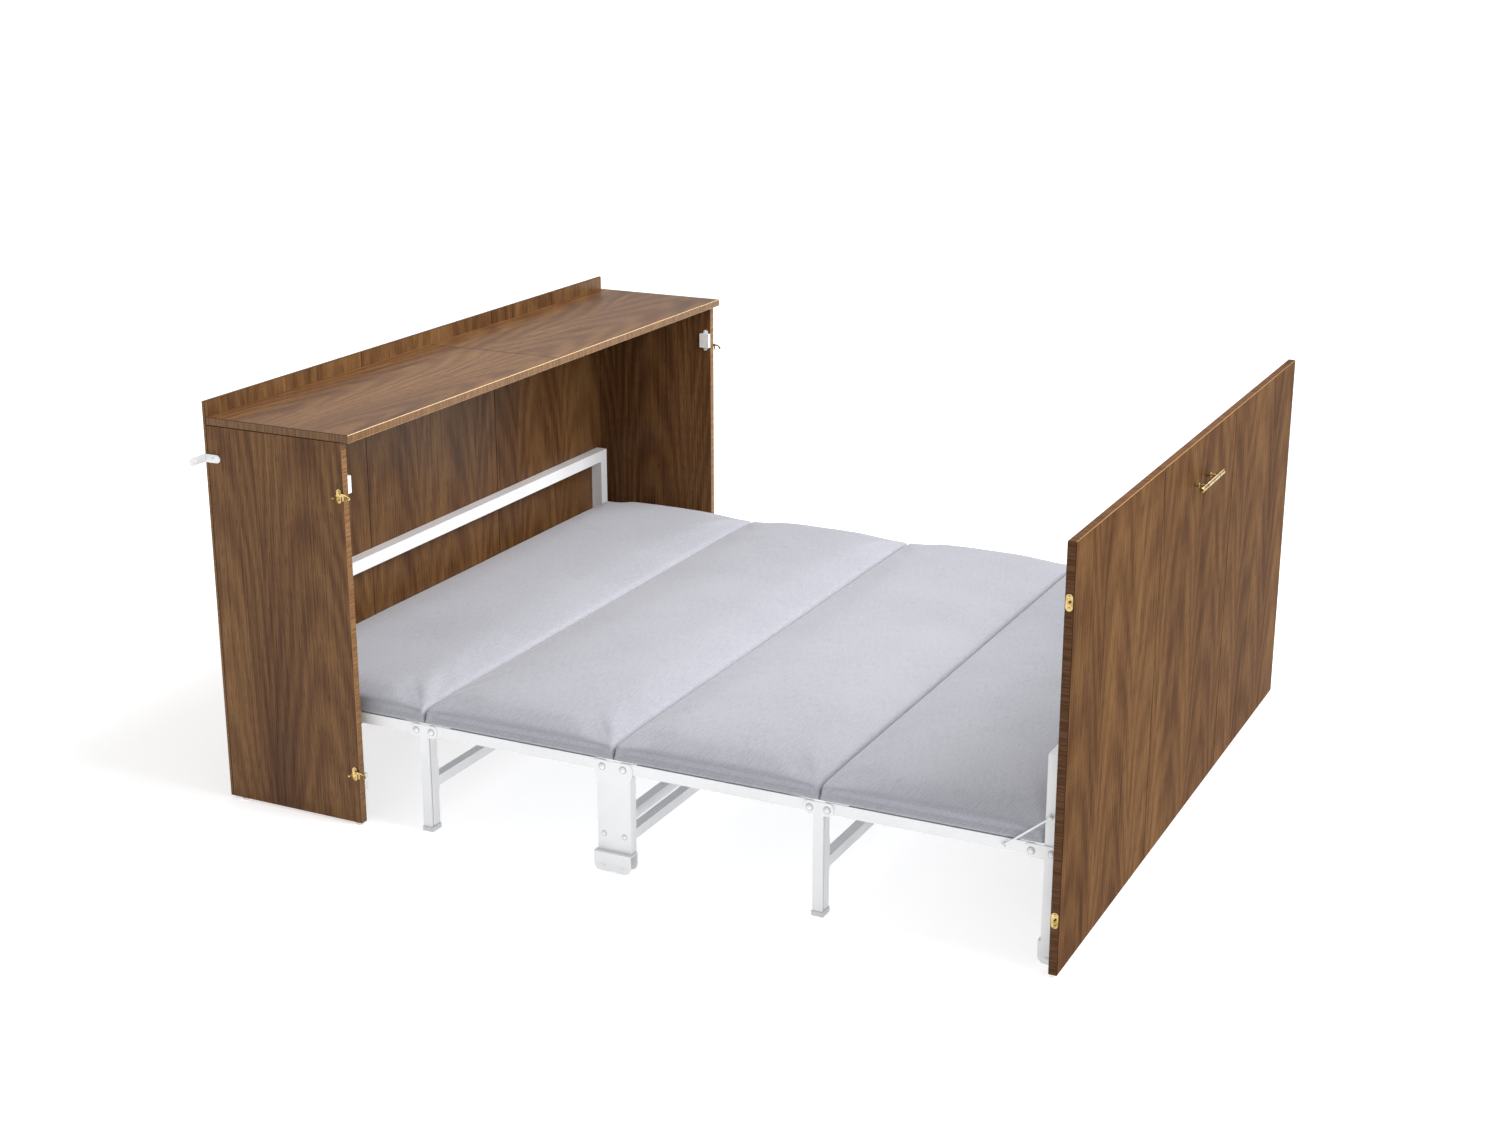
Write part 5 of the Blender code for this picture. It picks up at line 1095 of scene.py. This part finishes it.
class BED_OT_bolt_heads(bpy.types.Operator):
    """Set a domed head and a washer on every fold bolt, and the rivets and axle heads"""
    bl_idname = "bed.bolt_heads"
    bl_label = "Bolt heads"

    def execute(self, context):
        settings = context.scene.bed_fastenings
        rail_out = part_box("section_1_frame")[1].x
        plate_out, column_out = rail_out + settings.plate_seat, rail_out + settings.column_seat
        coat = finish_called("white_powder_coat")
        grey = finish_called("moulded_washer_plastic")
        heads = tree_called("domed_heads", head_tree, False)
        rings = tree_called("round_rings", ring_tree)
        places = {}
        for joint, body in BOLT_BODIES.items():
            spot = joint_place(joint)
            places.setdefault(body, []).append((spot.y, spot.z))
        # The end frames have a second bolt each, through their post
        for body, step in (("cabinet", settings.post_step), ("foot", -settings.post_step)):
            y, z = places[body][0]
            places[body].append((y + step, z))
        for body, spots in places.items():
            grow(f"{body}_bolt_heads", heads, on_both_sides(plate_out, spots),
                 {"Radius": settings.bolt_radius, "Height": settings.bolt_height, "Material": coat},
                 body)
            grow(f"{body}_bolt_washers", rings, on_both_sides(plate_out, spots),
                 {"Radius": settings.washer_radius, "Thickness": settings.washer_thickness, "Material": grey},
                 body)
        rivets = [(y, settings.rivet_place) for y, z in places["carriage"]]
        grow("carriage_rivet_heads", heads, on_both_sides(column_out, rivets),
             {"Radius": settings.rivet_radius, "Height": settings.rivet_height, "Material": coat},
             "carriage")
        grow("carriage_rivet_rings", rings, on_both_sides(column_out, rivets),
             {"Radius": settings.rivet_radius + settings.washer_thickness / 2,
              "Thickness": settings.washer_thickness * settings.rivet_ring_share, "Material": grey},
             "carriage")
        rollers = {"carriage": ("carriage_wheel_right_back", "carriage_wheel_right_front"),
                   "foot": ("foot_wheel_right",)}
        for body, names in rollers.items():
            axles = [joint_place(f"{name}_spin") for name in names]
            cheek_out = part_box(names[0])[1].x + settings.cheek
            spots = [(axle.y, axle.z) for axle in axles]
            grow(f"{body}_axle_heads", heads, on_both_sides(cheek_out, spots),
                 {"Radius": settings.axle_radius, "Height": settings.axle_height, "Material": coat},
                 body)
        return {"FINISHED"}


class BED_OT_screws(bpy.types.Operator):
    """Set cross-recessed screws in the latches, studs, catches and wall brackets"""
    bl_idname = "bed.screws"
    bl_label = "Screws"

    def execute(self, context):
        settings = context.scene.bed_fastenings
        brass = finish_called("polished_brass")
        coat = finish_called("white_powder_coat")
        screws = tree_called("cross_heads", head_tree, True)
        rings = tree_called("round_rings", ring_tree)
        plates = {"cabinet": ("hook_plate_right", settings.hook_screw_step),
                  "foot": ("stud_plate_right", settings.stud_screw_step)}
        for body, (plate, step) in plates.items():
            spots = []
            for level in LEVELS:
                low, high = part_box(f"{plate}_{level}")
                middle_y, middle_z = (low.y + high.y) / 2, (low.z + high.z) / 2
                spots += [(middle_y, middle_z - step), (middle_y, middle_z + step)]
            grow(f"{body}_latch_screws", screws, on_both_sides(low.x + settings.latch_metal, spots),
                 cross_head(settings, settings.small_screw, settings.small_screw_height, brass),
                 body)
        ears = []
        for level in LEVELS:
            low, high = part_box(f"magnetic_catch_right_{level}")
            middle_y = (low.y + high.y) / 2
            ears += [(middle_y, low.z + settings.catch_inset), (middle_y, high.z - settings.catch_inset)]
        ear_seat = high.x - settings.catch_seat
        inward = [((side * ear_seat, y, z), (-side, 0.0, 0.0)) for side in BOTH_SIDES for y, z in ears]
        grow("catch_screws", screws, inward,
             cross_head(settings, settings.catch_screw, settings.small_screw_height, coat),
             "cabinet")
        low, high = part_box("wall_bracket_right")
        middle_z = (low.z + high.z) / 2
        screw_y = high.y - settings.bracket_screw_step
        grow("bracket_screws", screws, on_both_sides(low.x + settings.bracket_metal, [(screw_y, middle_z)]),
             cross_head(settings, settings.wall_screw, settings.wall_screw_height, coat),
             "cabinet")
        hole_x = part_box("side_panel_right")[1].x + settings.bracket_hole_step
        eyelets = [((side * hole_x, high.y - settings.bracket_metal, middle_z), (0.0, -1.0, 0.0))
                   for side in BOTH_SIDES]
        grow("bracket_eyelets", rings, eyelets,
             {"Radius": settings.eyelet_radius, "Thickness": settings.eyelet_thickness, "Material": coat},
             "cabinet")
        return {"FINISHED"}


class BED_OT_strike_plates(bpy.types.Operator):
    """Set the steel plates on the front panel that the magnetic catches pull"""
    bl_idname = "bed.strike_plates"
    bl_label = "Strike plates"

    corner_steps = 5
    # How far out each layer of the plate lies, and how much of the broken arris it takes, as shares
    layer_shares = ((0.0, 0.0), (0.7, 0.0), (1.0, 1.0))

    def execute(self, context):
        settings = context.scene.bed_fastenings
        coat = finish_called("white_powder_coat")
        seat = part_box("front_panel_right")[1].y
        bm = bmesh.new()
        spots = []
        for side in BOTH_SIDES:
            for level in LEVELS:
                low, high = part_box(f"magnetic_catch_right_{level}")
                middle_x, middle_z = side * (low.x + high.x) / 2, (low.z + high.z) / 2
                self.rounded_plate(bm, (middle_x, seat, middle_z), settings)
                spots.append(((middle_x, seat + settings.strike_thickness, middle_z), (0.0, 1.0, 0.0)))
        mesh = finished_mesh(bm, "strike_plates")
        keep_piece(link_mesh("strike_plates", mesh, [coat]), "foot")
        grow("strike_plate_screws", tree_called("cross_heads", head_tree, True), spots,
             cross_head(settings, settings.catch_screw, settings.strike_screw_height, coat),
             "foot")
        return {"FINISHED"}

    def rounded_plate(self, bm, seat, settings):
        """A thin upright plate with rounded corners and a broken arris."""
        corner = settings.strike_corner
        reach_x, reach_z = settings.strike_width - corner, settings.strike_height - corner
        outline = []
        for quarter, (sign_x, sign_z) in enumerate(((1, 1), (-1, 1), (-1, -1), (1, -1))):
            for step in range(self.corner_steps + 1):
                angle = (quarter + step / self.corner_steps) * math.pi / 2
                outline.append((seat[0] + sign_x * reach_x + corner * math.cos(angle),
                                seat[2] + sign_z * reach_z + corner * math.sin(angle)))
        layers = []
        for out_share, arris_share in self.layer_shares:
            y, inset = seat[1] + settings.strike_thickness * out_share, settings.strike_arris * arris_share
            layers.append([bm.verts.new((x - math.copysign(inset, x - seat[0]), y,
                                         z - math.copysign(inset, z - seat[2]))) for x, z in outline])
        for layer, next_layer in zip(layers, layers[1:]):
            bridge(bm, layer, next_layer)
        bm.faces.new(list(reversed(layers[0])))
        bm.faces.new(layers[-1])


class BED_OT_glide_sleeves(bpy.types.Operator):
    """Set the white sleeves of the glides under the side panels"""
    bl_idname = "bed.glide_sleeves"
    bl_label = "Glide sleeves"

    sides = 40
    # The sleeve's broken lower edge, inwards and upwards, and the lip's thickness with its slope
    edge_in = 0.4 * MM
    edge_up = 0.5 * MM
    lip_thickness = 1.0 * MM
    lip_slope = 0.4 * MM

    def execute(self, context):
        settings = context.scene.bed_fastenings
        plastic = finish_called("moulded_white_plastic")
        panel_low, panel_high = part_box("side_panel_right")
        line = (panel_low.x + panel_high.x) / 2
        bm = bmesh.new()
        for side in BOTH_SIDES:
            for y in (panel_low.y + settings.glide_front, panel_high.y - settings.glide_back):
                self.turned_ring(bm, (side * line, y), self.profile(settings))
        mesh = finished_mesh(bm, "glide_sleeves")
        keep_piece(link_mesh("glide_sleeves", mesh, [plastic]), "cabinet")
        return {"FINISHED"}

    def profile(self, settings):
        """The sleeve's closed outline of (radius, height) points."""
        inside, outside, lip = settings.sleeve_bore, settings.sleeve_radius, settings.sleeve_lip
        low, high = settings.sleeve_bottom, settings.sleeve_top
        under_lip = high - self.lip_thickness
        return [(inside, low), (outside - self.edge_in, low), (outside, low + self.edge_up),
                (outside, under_lip - self.lip_slope), (lip, under_lip), (lip, high), (inside, high)]

    def turned_ring(self, bm, centre, profile):
        """Turn a closed outline round an upright line."""
        loops = []
        for step in range(self.sides):
            angle = 2 * math.pi * step / self.sides
            x, y = math.cos(angle), math.sin(angle)
            loops.append([bm.verts.new((centre[0] + radius * x, centre[1] + radius * y, height))
                          for radius, height in profile])
        for loop, next_loop in zip(loops, loops[1:] + loops[:1]):
            bridge(bm, loop, next_loop)


class BED_PT_steps(bpy.types.Panel):
    """The steps, in the order they are run"""
    bl_label = "Folding Bed"
    bl_idname = "BED_PT_steps"
    bl_space_type = "VIEW_3D"
    bl_region_type = "UI"
    bl_category = "Folding Bed"

    def draw(self, context):
        for step in STEPS:
            self.layout.operator(step.bl_idname, text=step.bl_label)


SETTINGS = {
    "bed_stage": StageSettings,
    "bed_boards": BoardSettings,
    "bed_steel": SteelSettings,
    "bed_fittings": FittingSettings,
    "bed_pads": PadSettings,
    "bed_fastenings": FasteningSettings,
}
STEPS = (BED_OT_stage, BED_OT_boards, BED_OT_steelwork, BED_OT_fittings, BED_OT_pads,
         BED_OT_bolt_heads, BED_OT_screws, BED_OT_strike_plates, BED_OT_glide_sleeves)


def register():
    """Make the settings, steps and panel known."""
    for settings in SETTINGS.values():
        bpy.utils.register_class(settings)
    for step in STEPS:
        bpy.utils.register_class(step)
    bpy.utils.register_class(BED_PT_steps)
    for name, settings in SETTINGS.items():
        setattr(bpy.types.Scene, name, PointerProperty(type=settings))


def unregister():
    """Take them all away again."""
    for name in SETTINGS:
        delattr(bpy.types.Scene, name)
    bpy.utils.unregister_class(BED_PT_steps)
    for step in reversed(STEPS):
        bpy.utils.unregister_class(step)
    for settings in reversed(SETTINGS.values()):
        bpy.utils.unregister_class(settings)


def main():
    """Run every step in order."""
    register()
    bpy.ops.bed.stage()
    bpy.ops.bed.boards()
    bpy.ops.bed.steelwork()
    bpy.ops.bed.fittings()
    bpy.ops.bed.pads()
    bpy.ops.bed.bolt_heads()
    bpy.ops.bed.screws()
    bpy.ops.bed.strike_plates()
    bpy.ops.bed.glide_sleeves()


if __name__ == "__main__":
    main()
